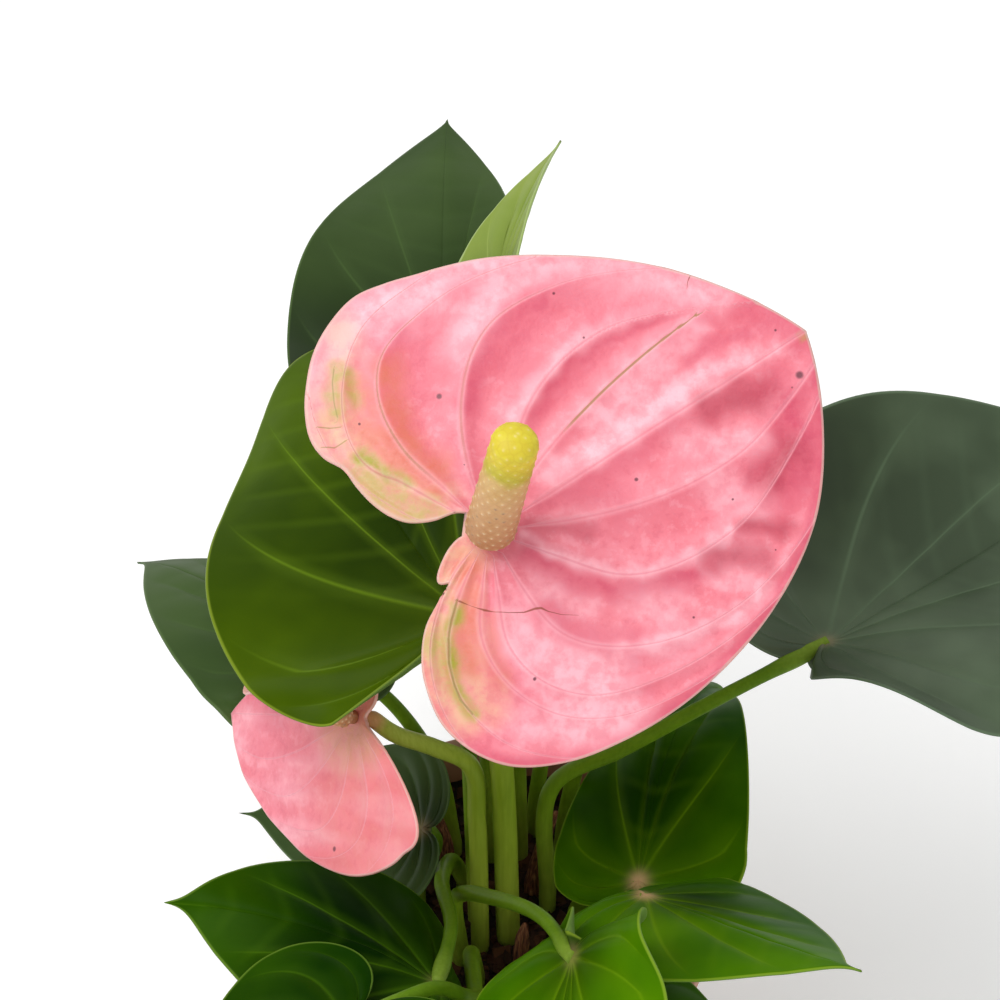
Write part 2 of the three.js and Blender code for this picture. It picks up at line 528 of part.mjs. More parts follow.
// The whole plant.
const plant = new THREE.Group();
plant.name = 'potted_anthurium';
const flowers = [MAIN_FLOWER, SECOND_FLOWER];
const stems = [
  ...LEAVES.map((leaf) => [...leaf.foot, STALK_FOOT_RADIUS]),
  ...flowers.map((flower) => [...flower.foot, flower.stalkRadius[0]]),
  ...SHEATHS.map((sheath) => [...sheath.foot, sheath.radius]),
];
addNode(plant, 'pot', makePot(), COLOURS.pot);
addNode(plant, 'potting_mix', makeMix(stems), COLOURS.mix);
for (const leaf of LEAVES) {
  addNode(plant, leaf.name, makeLeaf(leaf), COLOURS.leaf);
}
for (const flower of flowers) {
  addNode(plant, `${flower.name}_flower_stalk`, makeFlowerStalk(flower), COLOURS.flowerStalk);
  addNode(plant, `${flower.name}_spathe`, makeSpathe(flower), COLOURS.spathe);
  addNode(plant, `${flower.name}_spadix`, makeSpadix(flower), COLOURS.spadix);
}
for (const sheath of SHEATHS) {
  addNode(plant, sheath.name, makeSheath(sheath), COLOURS.sheath);
}

export default plant;
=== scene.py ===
# Potted pink anthurium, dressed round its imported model, in the frame of that model:
# metres, Z up, the origin under the middle of the pot, and the front looked at along +Y.
import math

import bpy
import numpy as np
from mathutils import Matrix, Vector
from mathutils.kdtree import KDTree


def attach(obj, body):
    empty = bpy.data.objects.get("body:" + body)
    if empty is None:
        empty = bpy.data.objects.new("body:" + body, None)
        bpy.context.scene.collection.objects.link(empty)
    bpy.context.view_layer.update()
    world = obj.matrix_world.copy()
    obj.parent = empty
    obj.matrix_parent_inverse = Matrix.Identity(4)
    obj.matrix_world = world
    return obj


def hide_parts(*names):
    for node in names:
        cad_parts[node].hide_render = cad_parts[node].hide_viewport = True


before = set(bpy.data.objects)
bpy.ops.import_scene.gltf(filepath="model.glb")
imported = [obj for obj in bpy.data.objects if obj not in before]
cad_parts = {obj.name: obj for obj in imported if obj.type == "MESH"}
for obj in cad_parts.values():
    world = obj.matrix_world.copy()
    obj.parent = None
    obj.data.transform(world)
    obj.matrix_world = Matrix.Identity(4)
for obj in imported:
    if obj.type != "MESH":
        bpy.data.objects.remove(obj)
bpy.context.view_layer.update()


# The pot. A thin nursery pot, injection-moulded in terracotta-coloured polypropylene, with a
# turned-out band that stiffens the rim and drainage holes in its floor. The plant's root ball
# stands in it, and nothing fixes it. All sizes are millimetres, made metres with each mesh.
MM = 0.001
POT_HEIGHT = 104
POT_FOOT_RADIUS = 37
POT_RIM_RADIUS = 50
POT_WALL = 2
POT_FLOOR = 3
RIM_BAND_HEIGHT = 12
RIM_BAND_OUT = 2
DRAIN_HOLES = 6
DRAIN_HOLE_RADIUS = 4
DRAIN_RING_RADIUS = 25
LIME_LINE = 84
CORNER_ROUNDING = 1.4
POT_COLUMNS = 144
HOLE_COLUMNS = 32
SHARP_ANGLE = 50


def linear(code):
    """An sRGB hex colour as linear red, green, blue and a full alpha."""
    channels = [int(code[i:i + 2], 16) / 255 for i in (1, 3, 5)]
    return [c / 12.92 if c <= 0.04045 else ((c + 0.055) / 1.055) ** 2.4 for c in channels] + [1]


def add_node(material, kind, sockets, output=0, stops=(), **settings):
    """Adds a shader node with its own settings and gives one of its outputs. Sockets are by name
    or in order, each a value or a link. A colour ramp has stops: a place and a tint for each."""
    tree = material.node_tree
    node = tree.nodes.new("ShaderNode" + kind)
    for name, value in settings.items():
        setattr(node, name, value)
    for name, value in sockets.items() if isinstance(sockets, dict) else enumerate(sockets):
        if isinstance(value, bpy.types.NodeSocket):
            tree.links.new(value, node.inputs[name])
        else:
            node.inputs[name].default_value = value
    if stops:
        ramp = node.color_ramp.elements
        for number in (0, -1):
            ramp[number].position, ramp[number].color = stops[number][0], linear(stops[number][1])
        for position, tint in stops[1:-1]:
            ramp.new(position).color = linear(tint)
    return node.outputs[output] if node.outputs else None


def begin_material(name):
    """A new material with no nodes, and its coordinates in metres on the object."""
    material = bpy.data.materials.new(name)
    material.use_nodes = True
    material.node_tree.nodes.clear()
    return material, add_node(material, "TexCoord", {}, "Object")


def end_material(material, colour, layers, relief, sockets):
    """Lays tints over a ground colour, each with its share and, where it doesn't just cover, its
    way of blending. Raises a relief: a height, a strength and a depth in mm. Adds the shader."""
    for share, tint, *blend in layers:
        colour = add_node(material, "Mix", {0: share, 6: colour, 7: linear(tint)}, 2,
                          data_type="RGBA", blend_type=blend[0] if blend else "MIX")
    sockets = {"Base Color": colour, **sockets}
    if relief:
        height, strength, depth = relief
        sockets["Normal"] = add_node(material, "Bump", {
            "Height": height, "Strength": strength, "Distance": depth * MM})
    shader = add_node(material, "BsdfPrincipled", sockets)
    add_node(material, "OutputMaterial", {"Surface": shader})
    return material


def skin(first, rings, last):
    """Points and faces of a closed skin: a point, the rings of points round it, a last point."""
    count, columns, _ = rings.shape
    points = np.concatenate([[first], rings.reshape(-1, 3), [last]])
    k = np.arange(columns)
    n = (k + 1) % columns
    a = 1 + columns * np.arange(count - 1)[:, None]
    sides = np.stack([a + k, a + columns + k, a + columns + n, a + n], axis=-1).reshape(-1, 4)
    end = 1 + columns * (count - 1)
    start_cap = np.stack([np.zeros_like(k), 1 + k, 1 + n], axis=-1)
    end_cap = np.stack([np.full_like(k, end + columns), end + n, end + k], axis=-1)
    return points, sides.tolist() + start_cap.tolist() + end_cap.tolist()


def new_object(name, parts):
    """One object, linked to the scene, from parts that start with points in mm and their faces."""
    starts = np.cumsum([0] + [len(part[0]) for part in parts]).tolist()
    faces = [[corner + start for corner in face] for part, start in zip(parts, starts) for face in part[1]]
    mesh = bpy.data.meshes.new(name)
    mesh.from_pydata((np.concatenate([part[0] for part in parts]) * MM).tolist(), [], faces)
    thing = bpy.data.objects.new(name, mesh)
    bpy.context.scene.collection.objects.link(thing)
    return thing


def make_piece(name, parts, materials, nodes):
    """One smooth piece from parts of (points, faces, fields, material number), on the frame."""
    piece = new_object(name, parts)
    mesh = piece.data
    for field in sorted({key for part in parts for key in part[2]}):
        values = [part[2].get(field, np.zeros(len(part[0]))) for part in parts]
        attribute = mesh.attributes.new(field, "FLOAT", "POINT")
        attribute.data.foreach_set("value", np.concatenate(values).astype(np.float32))
    for material in materials:
        mesh.materials.append(material)
    numbers = [part[3] for part in parts for _ in part[1]]
    mesh.polygons.foreach_set("material_index", numbers)
    mesh.polygons.foreach_set("use_smooth", [True] * len(numbers))
    mesh.update()
    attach(piece, "root")
    if nodes:
        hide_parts(*nodes)
    return piece


def turned(profile, columns):
    """A profile of (radius, height), from axis to axis, turned about Z."""
    around = -2 * math.pi * np.arange(columns) / columns
    rings = [[(r * math.cos(a), r * math.sin(a), z) for a in around] for r, z in profile[1:-1]]
    return skin((0, 0, profile[0][1]), np.array(rings), (0, 0, profile[-1][1]))


def pot_outside(z):
    """The pot's outer radius at a height."""
    return POT_FOOT_RADIUS + (POT_RIM_RADIUS - POT_FOOT_RADIUS) * z / POT_HEIGHT


def rounded(corners, radius, steps=5):
    """A profile whose inner corners are rounded to a radius."""
    path = [corners[0]]
    for before, corner, after in zip(corners, corners[1:], corners[2:]):
        before, corner, after = (np.array(p, float) for p in (before, corner, after))
        cut = min(radius, np.linalg.norm(before - corner) / 2.1, np.linalg.norm(after - corner) / 2.1)
        enter = corner + (before - corner) / np.linalg.norm(before - corner) * cut
        leave = corner + (after - corner) / np.linalg.norm(after - corner) * cut
        for t in np.linspace(0, 1, steps):
            path.append(tuple((1 - t) ** 2 * enter + 2 * t * (1 - t) * corner + t ** 2 * leave))
    return path + [corners[-1]]


# Moulded polypropylene: a dull sheen, faint flow streaks down the wall, and a dusty, limed rim.
material, place = begin_material("terracotta polypropylene moulded")
streaks = add_node(material, "Mapping", {"Vector": place, "Scale": (1, 1, 0.12)})
flow, dust, orange_peel = (
    add_node(material, "TexNoise", {
        "Vector": vector, "Scale": 1 / (size * MM), "Detail": detail, "Roughness": rough})
    for vector, size, detail, rough in ((streaks, 9, 4, 0.5), (place, 22, 6, 0.7), (place, 0.9, 2, 0.5)))
height = add_node(material, "SeparateXYZ", {"Vector": place}, "Z")
near_rim = add_node(material, "MapRange", [height, LIME_LINE * MM, POT_HEIGHT * MM, 0, 0.55])
limed = add_node(material, "Math", [near_rim, dust], operation="MULTIPLY")
gloss = add_node(material, "MapRange", [dust, 0, 1, 0.42, 0.66])
POLYPROPYLENE = end_material(
    material, linear("#8F4F31"), [(flow, "#B06A47"), (limed, "#D3BBA5")], (orange_peel, 0.25, 0.08),
    {"Roughness": gloss, "IOR": 1.49})

band_base = POT_HEIGHT - RIM_BAND_HEIGHT
pot_profile = rounded([
    (0, 0), (POT_FOOT_RADIUS, 0), (pot_outside(band_base), band_base),
    (pot_outside(band_base) + RIM_BAND_OUT, band_base + 1.5), (POT_RIM_RADIUS + RIM_BAND_OUT, POT_HEIGHT),
    (POT_RIM_RADIUS - POT_WALL, POT_HEIGHT), (pot_outside(POT_FLOOR) - POT_WALL, POT_FLOOR),
    (0, POT_FLOOR)], CORNER_ROUNDING)
pot = make_piece(
    "nursery_pot", [(*turned(pot_profile, POT_COLUMNS), {}, 0)], [POLYPROPYLENE], ["pot"])
holes = []
for hole in range(DRAIN_HOLES):
    points, faces = turned([(0, -2), (DRAIN_HOLE_RADIUS, -2), (DRAIN_HOLE_RADIUS, 5), (0, 5)], HOLE_COLUMNS)
    turn = 2 * math.pi * hole / DRAIN_HOLES
    points[:, :2] += DRAIN_RING_RADIUS * np.array([math.cos(turn), math.sin(turn)])
    holes.append((points, faces))
cutter = new_object("drain_cutter", holes)
drains = pot.modifiers.new("drains", "BOOLEAN")
drains.object = cutter
drains.solver = "EXACT"
drained = bpy.data.meshes.new_from_object(pot.evaluated_get(bpy.context.evaluated_depsgraph_get()))
pot.modifiers.clear()
pot.data = drained
bpy.data.objects.remove(cutter)
pot.data.set_sharp_from_angle(angle=math.radians(SHARP_ANGLE))


# The potting mix. Dark peat with composted bark, damp, filling the pot to just under its rim. It
# holds every stem. The crumbs are its own surface, and loose bark chips lie on top.
MIX_TOP = 95
MIX_MOUND = 2
MOUND_RADIUS = 47
STEM_DEPTH = 12
FIT_GAP = 0.3
CRUMB_HEIGHT = 1.1
MIX_COLUMNS = 200
MIX_RINGS = 64
CHIPS = 620


def wobble(places, size, seed, waves=9):
    """A smooth random field from -1 to 1 over places in millimetres, with lumps of about a size."""
    dice = np.random.default_rng(seed)
    total = np.zeros(places.shape[:-1])
    for _ in range(waves):
        way = dice.normal(size=places.shape[-1])
        way *= 2 * math.pi / (size * dice.uniform(0.75, 1.5) * 2) / np.linalg.norm(way)
        total += np.sin(places @ way + dice.uniform(0, 2 * math.pi))
    return total / math.sqrt(waves * 2)


# Peat and bark: matt, nearly black where damp, with brown and red-brown crumbs.
material, place = begin_material("damp peat and composted bark")
crumbs = add_node(material, "TexVoronoi", {"Vector": place, "Scale": 1 / (2.6 * MM)}, "Color")
patches, grain = (
    add_node(material, "TexNoise", {"Vector": place, "Scale": 1 / (size * MM), "Detail": detail})
    for size, detail in ((11, 5), (0.8, 4)))
crumb_tone = add_node(material, "SeparateColor", {"Color": crumbs}, "Red")
shade = add_node(material, "Attribute", {}, "Fac", attribute_name="shade")
tone = add_node(material, "Math", [crumb_tone, shade], operation="MAXIMUM")
earth = add_node(material, "ValToRGB", [tone], stops=(
    (0, "#140D08"), (0.55, "#2A1A10"), (0.82, "#4A2A1A"), (1, "#6B4328")))
POTTING_MIX = end_material(material, earth, [(patches, "#8A7A6C", "MULTIPLY")], (grain, 0.8, 0.3),
                           {"Roughness": 0.93, "IOR": 1.4})


def mix_surface(x, y):
    """The height of the crumbly top of the mix."""
    places = np.stack([x, y], axis=-1)
    mound = MIX_TOP - MIX_MOUND * (np.hypot(x, y) / MOUND_RADIUS) ** 2
    rough = wobble(places, 9, 1) * 0.8 + wobble(places, 3.5, 2) * 0.7 + wobble(places, 1.7, 3) * 0.35
    return mound + CRUMB_HEIGHT * 0.5 * (rough - 0.6)


mix_inside = pot_outside(MIX_TOP - MIX_MOUND) - POT_WALL - FIT_GAP
around = -2 * math.pi * np.arange(MIX_COLUMNS) / MIX_COLUMNS
rings = []
for radius, z in [
        (pot_outside(POT_FLOOR) - POT_WALL - 1, POT_FLOOR + FIT_GAP), (mix_inside - 0.6, MIX_TOP - 6)]:
    x, y = radius * np.cos(around), radius * np.sin(around)
    rings.append(np.stack([x, y, np.full(MIX_COLUMNS, z)], axis=-1))
for radius in np.linspace(mix_inside, 0.8, MIX_RINGS):
    x, y = radius * np.cos(around), radius * np.sin(around)
    rings.append(np.stack([x, y, mix_surface(x, y)], axis=-1))
mix_body = skin((0, 0, POT_FLOOR + FIT_GAP), np.array(rings), (0, 0, MIX_TOP - 0.5))
make_piece("potting_mix_body", [(*mix_body, {}, 0)], [POTTING_MIX], ["potting_mix"])

dice = np.random.default_rng(41)
BLOCK = np.array([(x, y, z) for z in (-1, 1) for y in (-1, 1) for x in (-1, 1)], float)
BLOCK_FACES = [[0, 2, 3, 1], [4, 5, 7, 6], [0, 1, 5, 4], [2, 6, 7, 3], [0, 4, 6, 2], [1, 3, 7, 5]]
chip_parts = []
for _ in range(CHIPS):
    radius = mix_inside * 0.94 * math.sqrt(dice.uniform(0, 1))
    turn = dice.uniform(0, 2 * math.pi)
    x, y = radius * math.cos(turn), radius * math.sin(turn)
    size = np.array([dice.uniform(1, 4.2), dice.uniform(0.7, 2), dice.uniform(0.35, 0.9)])
    block = BLOCK * size * dice.uniform(0.6, 1, (8, 3))
    spin = Matrix.Rotation(dice.uniform(0, 6.3), 3, "Z") @ Matrix.Rotation(dice.uniform(-0.5, 0.5), 3, "X")
    spot = np.array([x, y, float(mix_surface(np.array(x), np.array(y))) + 0.3])
    shade = np.full(8, dice.uniform(0.35, 1) ** 1.5)
    chip_parts.append((block @ np.array(spin).T + spot, BLOCK_FACES, {"shade": shade}, 0))
chips = make_piece("bark_chips", chip_parts, [POTTING_MIX], [])
chips.data.polygons.foreach_set("use_smooth", [False] * len(chips.data.polygons))


# The leaves. Each is one growth: a firm, waxy, heart-shaped blade with a raised midrib and basal
# veins, and a round stalk with a swollen knuckle just under the blade. The stalk stands in the
# mix. Blades in full light are a glossy olive green, shaded ones a bluish green, the young one pale:
# the light and shade in these greens are painted, and a painted shadow darkens some blades.
LEAF_THICKNESS = 0.9
LEAF_EDGE_THICKNESS = 0.6
LEAF_PUCKER = 0.8
STALK_FOOT_RADIUS = 2.2
STALK_TOP_RADIUS = 1.5
KNUCKLE_SWELL = 0.5
LEAF_VEINS = [0, 35, 66, 98, 129, 165]
LATERAL_SPACING = 12.5
# Where a leaf lists a darker patch, that patch is painted shade where the bloom shades the blade: its middle
# on the blade, X to the tip and Y to the left, and its size, in mm.
LEAVES = [
    dict(name="leaf_left_glossy", at=(-9.5, -9, 224), foot=(-9, -1), turn=123.5, lift=1, roll=-46,
         length=111, lobe=12, width=100, blunt=0.55, point=0.08, arch=36, drop=-20,
         fold=(28, 8), cup=(3, 5), twist=2, ripple=3.7, ripples=5.4, phase=10, sinus=150,
         via=[(-10, -1, 150), (-11, -4, 200)], dim=(34, -12, 48), finish="glossy"),
    dict(name="leaf_back_tall", at=(-17.5, 97, 194), foot=(-5, 18), turn=91, lift=11.5, roll=-5,
         length=91, lobe=35, width=80.5, blunt=0.31, point=0.06, arch=25, drop=40,
         fold=(-5, -5), cup=(0, 0), ripple=2.1, ripples=5, phase=83, right_share=0.51, right_blunt=0.22,
         dim=(0, 25, 45), finish="shaded"),
    dict(name="leaf_back_young", at=(-4.2, 86.7, 228), foot=(2, 19), turn=77.5, lift=13, roll=-30.5,
         length=49.5, lobe=8, width=27, blunt=0.67, point=0.12, arch=17, drop=30,
         fold=(12, 21), cup=(19, 30), twist=-15, via=[(1, 24, 150), (-1, 42, 205)], finish="young"),
    dict(name="leaf_right_wide", at=(73, 11, 190), foot=(9, 3), turn=38.5, lift=-5.5, roll=-26,
         length=116, lobe=24, width=108, blunt=0.5, point=0.06, arch=1, drop=0,
         fold=(18, 5), cup=(18.5, -24.5), twist=36, ripple=4.7, ripples=5, phase=80,
         via=[(10, 2, 148), (26, -1, 166), (48, 1, 183)], dim=(22, 48, 38), finish="grey"),
    dict(name="leaf_left_far", at=(-51, 26, 168), foot=(-15, 20), turn=128.5, lift=-5, roll=8,
         length=71, lobe=28, width=70, blunt=1.26, point=0.09, arch=31, drop=57,
         fold=(-4.5, -4.5), cup=(-5, -5), via=[(-19, 24, 125), (-32, 28, 150)], finish="shaded"),
    dict(name="leaf_left_low", at=(-21.5, 0, 132), foot=(-24, 3), turn=149.5, lift=-30.5, roll=-34,
         length=57, lobe=12, width=53.5, blunt=1.07, point=0.12, arch=-4, drop=9,
         fold=(11.5, 11.5), cup=(6.5, 6.5), finish="shaded"),
    dict(name="leaf_front_left", at=(-17.5, -54, 146.5), foot=(-12, 8), turn=159, lift=26, roll=28,
         length=60, lobe=25.5, width=84, blunt=0.94, point=0.1, arch=30.5, drop=50,
         fold=(-6, -6), cup=(-13, -13.5), twist=-35, ripple=-1.4, ripples=5, phase=0,
         via=[(-15, 2, 116), (-17, -17, 134), (-14.5, -35, 142)], dim=(26, -6, 34), finish="inner_shade"),
    dict(name="leaf_front_low_left", at=(-36, -77.3, 166.5), foot=(-9, -20), turn=-129, lift=-10,
         roll=14, length=80, lobe=25, width=74, blunt=0.87, point=0.06, arch=30, drop=20,
         fold=(1, 1), cup=(-1, -1),
         via=[(-10, -28, 120), (-9, -47, 131), (-11, -57, 147), (-19, -66, 164)],
         dim=(30, 0, 50), finish="inner_shade"),
    dict(name="leaf_front", at=(13.5, -62.7, 171.5), foot=(-13, -13), turn=-100, lift=-17.5, roll=57,
         length=90, lobe=19.5, width=64, blunt=0.58, point=0.06, arch=37.5, drop=55,
         fold=(-1.5, 5.5), cup=(-9.5, 5), ripple=-4, ripples=5, phase=19,
         via=[(-13.5, -17, 128), (-4, -31, 148), (7, -49, 166)], finish="bright"),
    dict(name="leaf_front_low_right", at=(29, -62, 145.5), foot=(8, -17), turn=-45.5, lift=-13.5,
         roll=-25.5, length=78, lobe=25, width=58.5, blunt=1.05, point=0.06, arch=29, drop=40,
         fold=(-1, -1), cup=(-6, -6), finish="inner_shade"),
    dict(name="leaf_right_upper", at=(30.5, -15.3, 132), foot=(16, -3), turn=81, lift=16.5, roll=-14,
         length=91, lobe=16, width=60.5, blunt=0.99, point=0.07, arch=67.5, drop=52,
         fold=(-6, -6), cup=(-19, -19), ripple=1.4, ripples=5, phase=-10, sinus=150,
         dim=(22, 2, 26), joint=0.9, finish="bright"),
    dict(name="leaf_right_lower", at=(30.5, -35.7, 155), foot=(17, -13), turn=-41, lift=22, roll=-28.5,
         length=58, lobe=22, width=70.5, blunt=0.82, point=0.09, arch=-5, drop=40,
         fold=(-6, -6), cup=(5, -24), twist=-1, dim=(8, 8, 14), joint=0.9, finish="bright"),
    dict(name="leaf_back_right", at=(28, 38, 164), foot=(13, 18), turn=52, lift=-8, roll=0,
         length=62, lobe=20, width=54, blunt=0.9, point=0.07, arch=32, drop=40,
         fold=(6, 6), cup=(4, 4), ripple=1, ripples=5, phase=40, finish="inner_shade"),
    dict(name="leaf_back_low", at=(13, 51, 138), foot=(6, 27), turn=80, lift=-10, roll=4,
         length=62, lobe=18, width=54, blunt=0.9, point=0.07, arch=30, drop=40,
         fold=(6, 6), cup=(4, 4), ripple=1, ripples=5, phase=140, finish="inner_shade"),
    dict(name="leaf_right_under", at=(24, 6, 120), foot=(20, 2), turn=24, lift=-6, roll=0,
         length=32, lobe=11, width=28, blunt=0.9, point=0.07, arch=30, drop=40,
         fold=(6, 6), cup=(4, 4), finish="inner_shade"),
    dict(name="leaf_front_under", at=(-11, -64, 121), foot=(-1, -24), turn=-94, lift=-12, roll=0,
         length=66, lobe=20, width=56, blunt=0.9, point=0.07, arch=30, drop=40,
         fold=(6, 6), cup=(4, 4), ripple=1, ripples=5, phase=90, finish="inner_shade"),
]


def smoothstep(value, low, high):
    """0 below low, 1 above high, and an even S between."""
    share = np.clip((value - low) / (high - low), 0, 1)
    return share * share * (3 - 2 * share)


def place_blade(blade, points):
    """Points in a blade's own axes, X to the tip and Z out of its upper face, put in the frame."""
    turning = Matrix.Rotation(math.radians(blade["turn"]), 3, "Z")
    turning @= Matrix.Rotation(-math.radians(blade["lift"]), 3, "Y")
    turning @= Matrix.Rotation(math.radians(blade["roll"]), 3, "X")
    return points @ np.array(turning).T + np.array(blade["at"], float), turning


def between_veins(angle, veins):
    """Where a place lies among the veins: a count that is whole on each vein, and the gap there.
    angle and each vein are degrees from the tip, and a vein may be an array that changes outward."""
    count = np.full(angle.shape, float(len(veins) - 1))
    gap = np.full(angle.shape, 30.0)
    bounds = list(veins) + [215.0]
    for i, (low, high) in enumerate(zip(bounds, bounds[1:])):
        low, high = np.broadcast_to(low, angle.shape), np.broadcast_to(high, angle.shape)
        inside = (angle >= low) & (angle < high)
        count = np.where(inside, i + (angle - low) / (high - low), count)
        gap = np.where(inside, high - low, gap)
    return count, gap


def sheet(centre, grid, spread, thickness, edge_thickness, fields, under_step=3):
    """A thin closed blade from rings of mid-surface points: upper face, rounded rim, under face."""
    inside = np.concatenate([np.broadcast_to(centre, (1, *grid.shape[1:])), grid[:-1]])
    outside = np.concatenate([grid[1:], grid[-1:]])
    beside = np.roll(grid, -1, axis=1) - np.roll(grid, 1, axis=1)
    normal = np.cross(outside - inside, beside)
    normal /= np.linalg.norm(normal, axis=2, keepdims=True) + 1e-12
    half = ((thickness + (edge_thickness - thickness) * spread) / 2)[:, None, None]
    outward = np.cross(beside[-1], normal[-1])
    outward /= np.linalg.norm(outward, axis=1, keepdims=True) + 1e-12
    rim = grid[-1] + outward * edge_thickness * 0.4
    under = list(range(len(grid) - 1, -1, -under_step))
    rings = np.concatenate([grid + normal * half, [rim], (grid - normal * half)[under]])
    middle = normal[0].mean(axis=0)
    middle /= np.linalg.norm(middle)
    points, faces = skin(centre + middle * thickness / 2, rings, centre - middle * thickness / 2)
    stacked = {}
    for name, values in fields.items():
        column = np.concatenate([values, values[-1:], values[under]]).ravel()
        stacked[name] = np.concatenate([[values[0].mean()], column, [values[0].mean()]])
    beneath = np.concatenate([np.zeros(len(grid)), [0.5], np.ones(len(under))])
    stacked["under"] = np.concatenate([[0], np.repeat(beneath, grid.shape[1]), [1]])
    return points, faces, stacked


def smooth_route(points, steps):
    """A centripetal Catmull-Rom curve through points, in equal steps of its span count."""
    points = [np.array(p, float) for p in points]
    spans = len(points) - 1
    padded = [2 * points[0] - points[1], *points, 2 * points[-1] - points[-2]]
    route = []
    for step in range(steps + 1):
        place = spans * step / steps
        i = min(int(place), spans - 1)
        t = place - i
        p0, p1, p2, p3 = padded[i:i + 4]
        d0, d1, d2 = (math.sqrt(np.linalg.norm(b - a)) for a, b in ((p0, p1), (p1, p2), (p2, p3)))
        leave = ((p1 - p0) / d0 - (p2 - p0) / (d0 + d1) + (p2 - p1) / d1) * d1
        arrive = ((p2 - p1) / d1 - (p3 - p1) / (d1 + d2) + (p3 - p2) / d2) * d1
        bend = -3 * p1 + 3 * p2 - 2 * leave - arrive
        route.append(p1 + leave * t + bend * t ** 2 + (2 * p1 - 2 * p2 + leave + arrive) * t ** 3)
    return np.array(route)


def cubic(a, b, c, d, steps):
    """A cubic Bezier curve in equal steps."""
    t = np.linspace(0, 1, steps + 1)[:, None]
    return (1 - t) ** 3 * a + 3 * (1 - t) ** 2 * t * b + 3 * (1 - t) * t ** 2 * c + t ** 3 * d


def stalk_path(growth, end, arriving, steps):
    """A stalk rises straight out of the mix, then leans over to meet what it carries."""
    base = np.array([*growth["foot"], MIX_TOP - STEM_DEPTH], float)
    clear = np.array([*growth["foot"], MIX_TOP + 4], float)
    if "via" in growth:
        route = smooth_route([clear, *growth["via"], end], steps)
    else:
        span = np.linalg.norm(end - clear)
        route = cubic(clear, clear + np.array([0, 0, span * 0.4]), end - arriving * span * 0.28, end, steps)
    return np.concatenate([[base], route])


def bar(path, radii, sides):
    """A round bar along a path. Its field along runs from 0 at the foot to 1 at the top."""
    side = np.array([1.0, 0, 0])
    rings = []
    turns = -2 * math.pi * np.arange(sides)[:, None] / sides
    for i, point in enumerate(path):
        along = path[min(i + 1, len(path) - 1)] - path[max(i - 1, 0)]
        along = along / np.linalg.norm(along)
        side = side - along * side.dot(along)
        side /= np.linalg.norm(side)
        other = np.cross(along, side)
        rings.append(point + radii[i] * (np.cos(turns) * side + np.sin(turns) * other))
    points, faces = skin(path[0], np.array(rings), path[-1])
    share = np.repeat(np.linspace(0, 1, len(path)), sides)
    return points, faces, {"along": np.concatenate([[0], share, [1]])}


def leaf_edge(leaf, angle):
    """The flattened heart-shaped outline, at signed angles in degrees from the tip."""
    a = np.abs(np.radians(angle))
    shoulder = math.radians(120)
    sinus = math.radians(leaf.get("sinus", 172))
    widest = 0.15 * leaf["length"]
    reach = np.where(np.cos(a) > 0, leaf["length"] - widest, leaf["lobe"] + widest)
    x = widest + reach * np.cos(a) + leaf["point"] * leaf["length"] * np.exp(-a / 0.13)
    blunt = np.where(angle < 0, leaf.get("right_blunt", leaf["blunt"]), leaf["blunt"])
    share = np.where(angle < 0, leaf.get("right_share", 1), 1)
    y = share * leaf["width"] / 2 * np.sin(a) * (1 - np.exp(-a / blunt))
    notch = np.clip((a - shoulder) / (sinus - shoulder), 0, 1)
    pinch = np.sqrt(1 - 0.95 * notch * notch)
    return x * pinch, np.sign(angle) * y * pinch


def midrib_at(leaf, x):
    """Where the bent midrib lies, and its slope, at a distance x along it from the stalk."""
    def slope(s):
        behind = -math.radians(leaf["drop"]) * (1 - np.exp(np.minimum(s, 0) / 9))
        return np.where(s > 0, math.radians(leaf["arch"]) * s / leaf["length"], behind)
    steps = 24
    slopes = [slope(x * (i + 0.5) / steps) for i in range(steps)]
    along = sum(np.cos(a) for a in slopes) * x / steps
    down = sum(np.sin(a) for a in slopes) * x / steps
    return along, -down, slope(x)


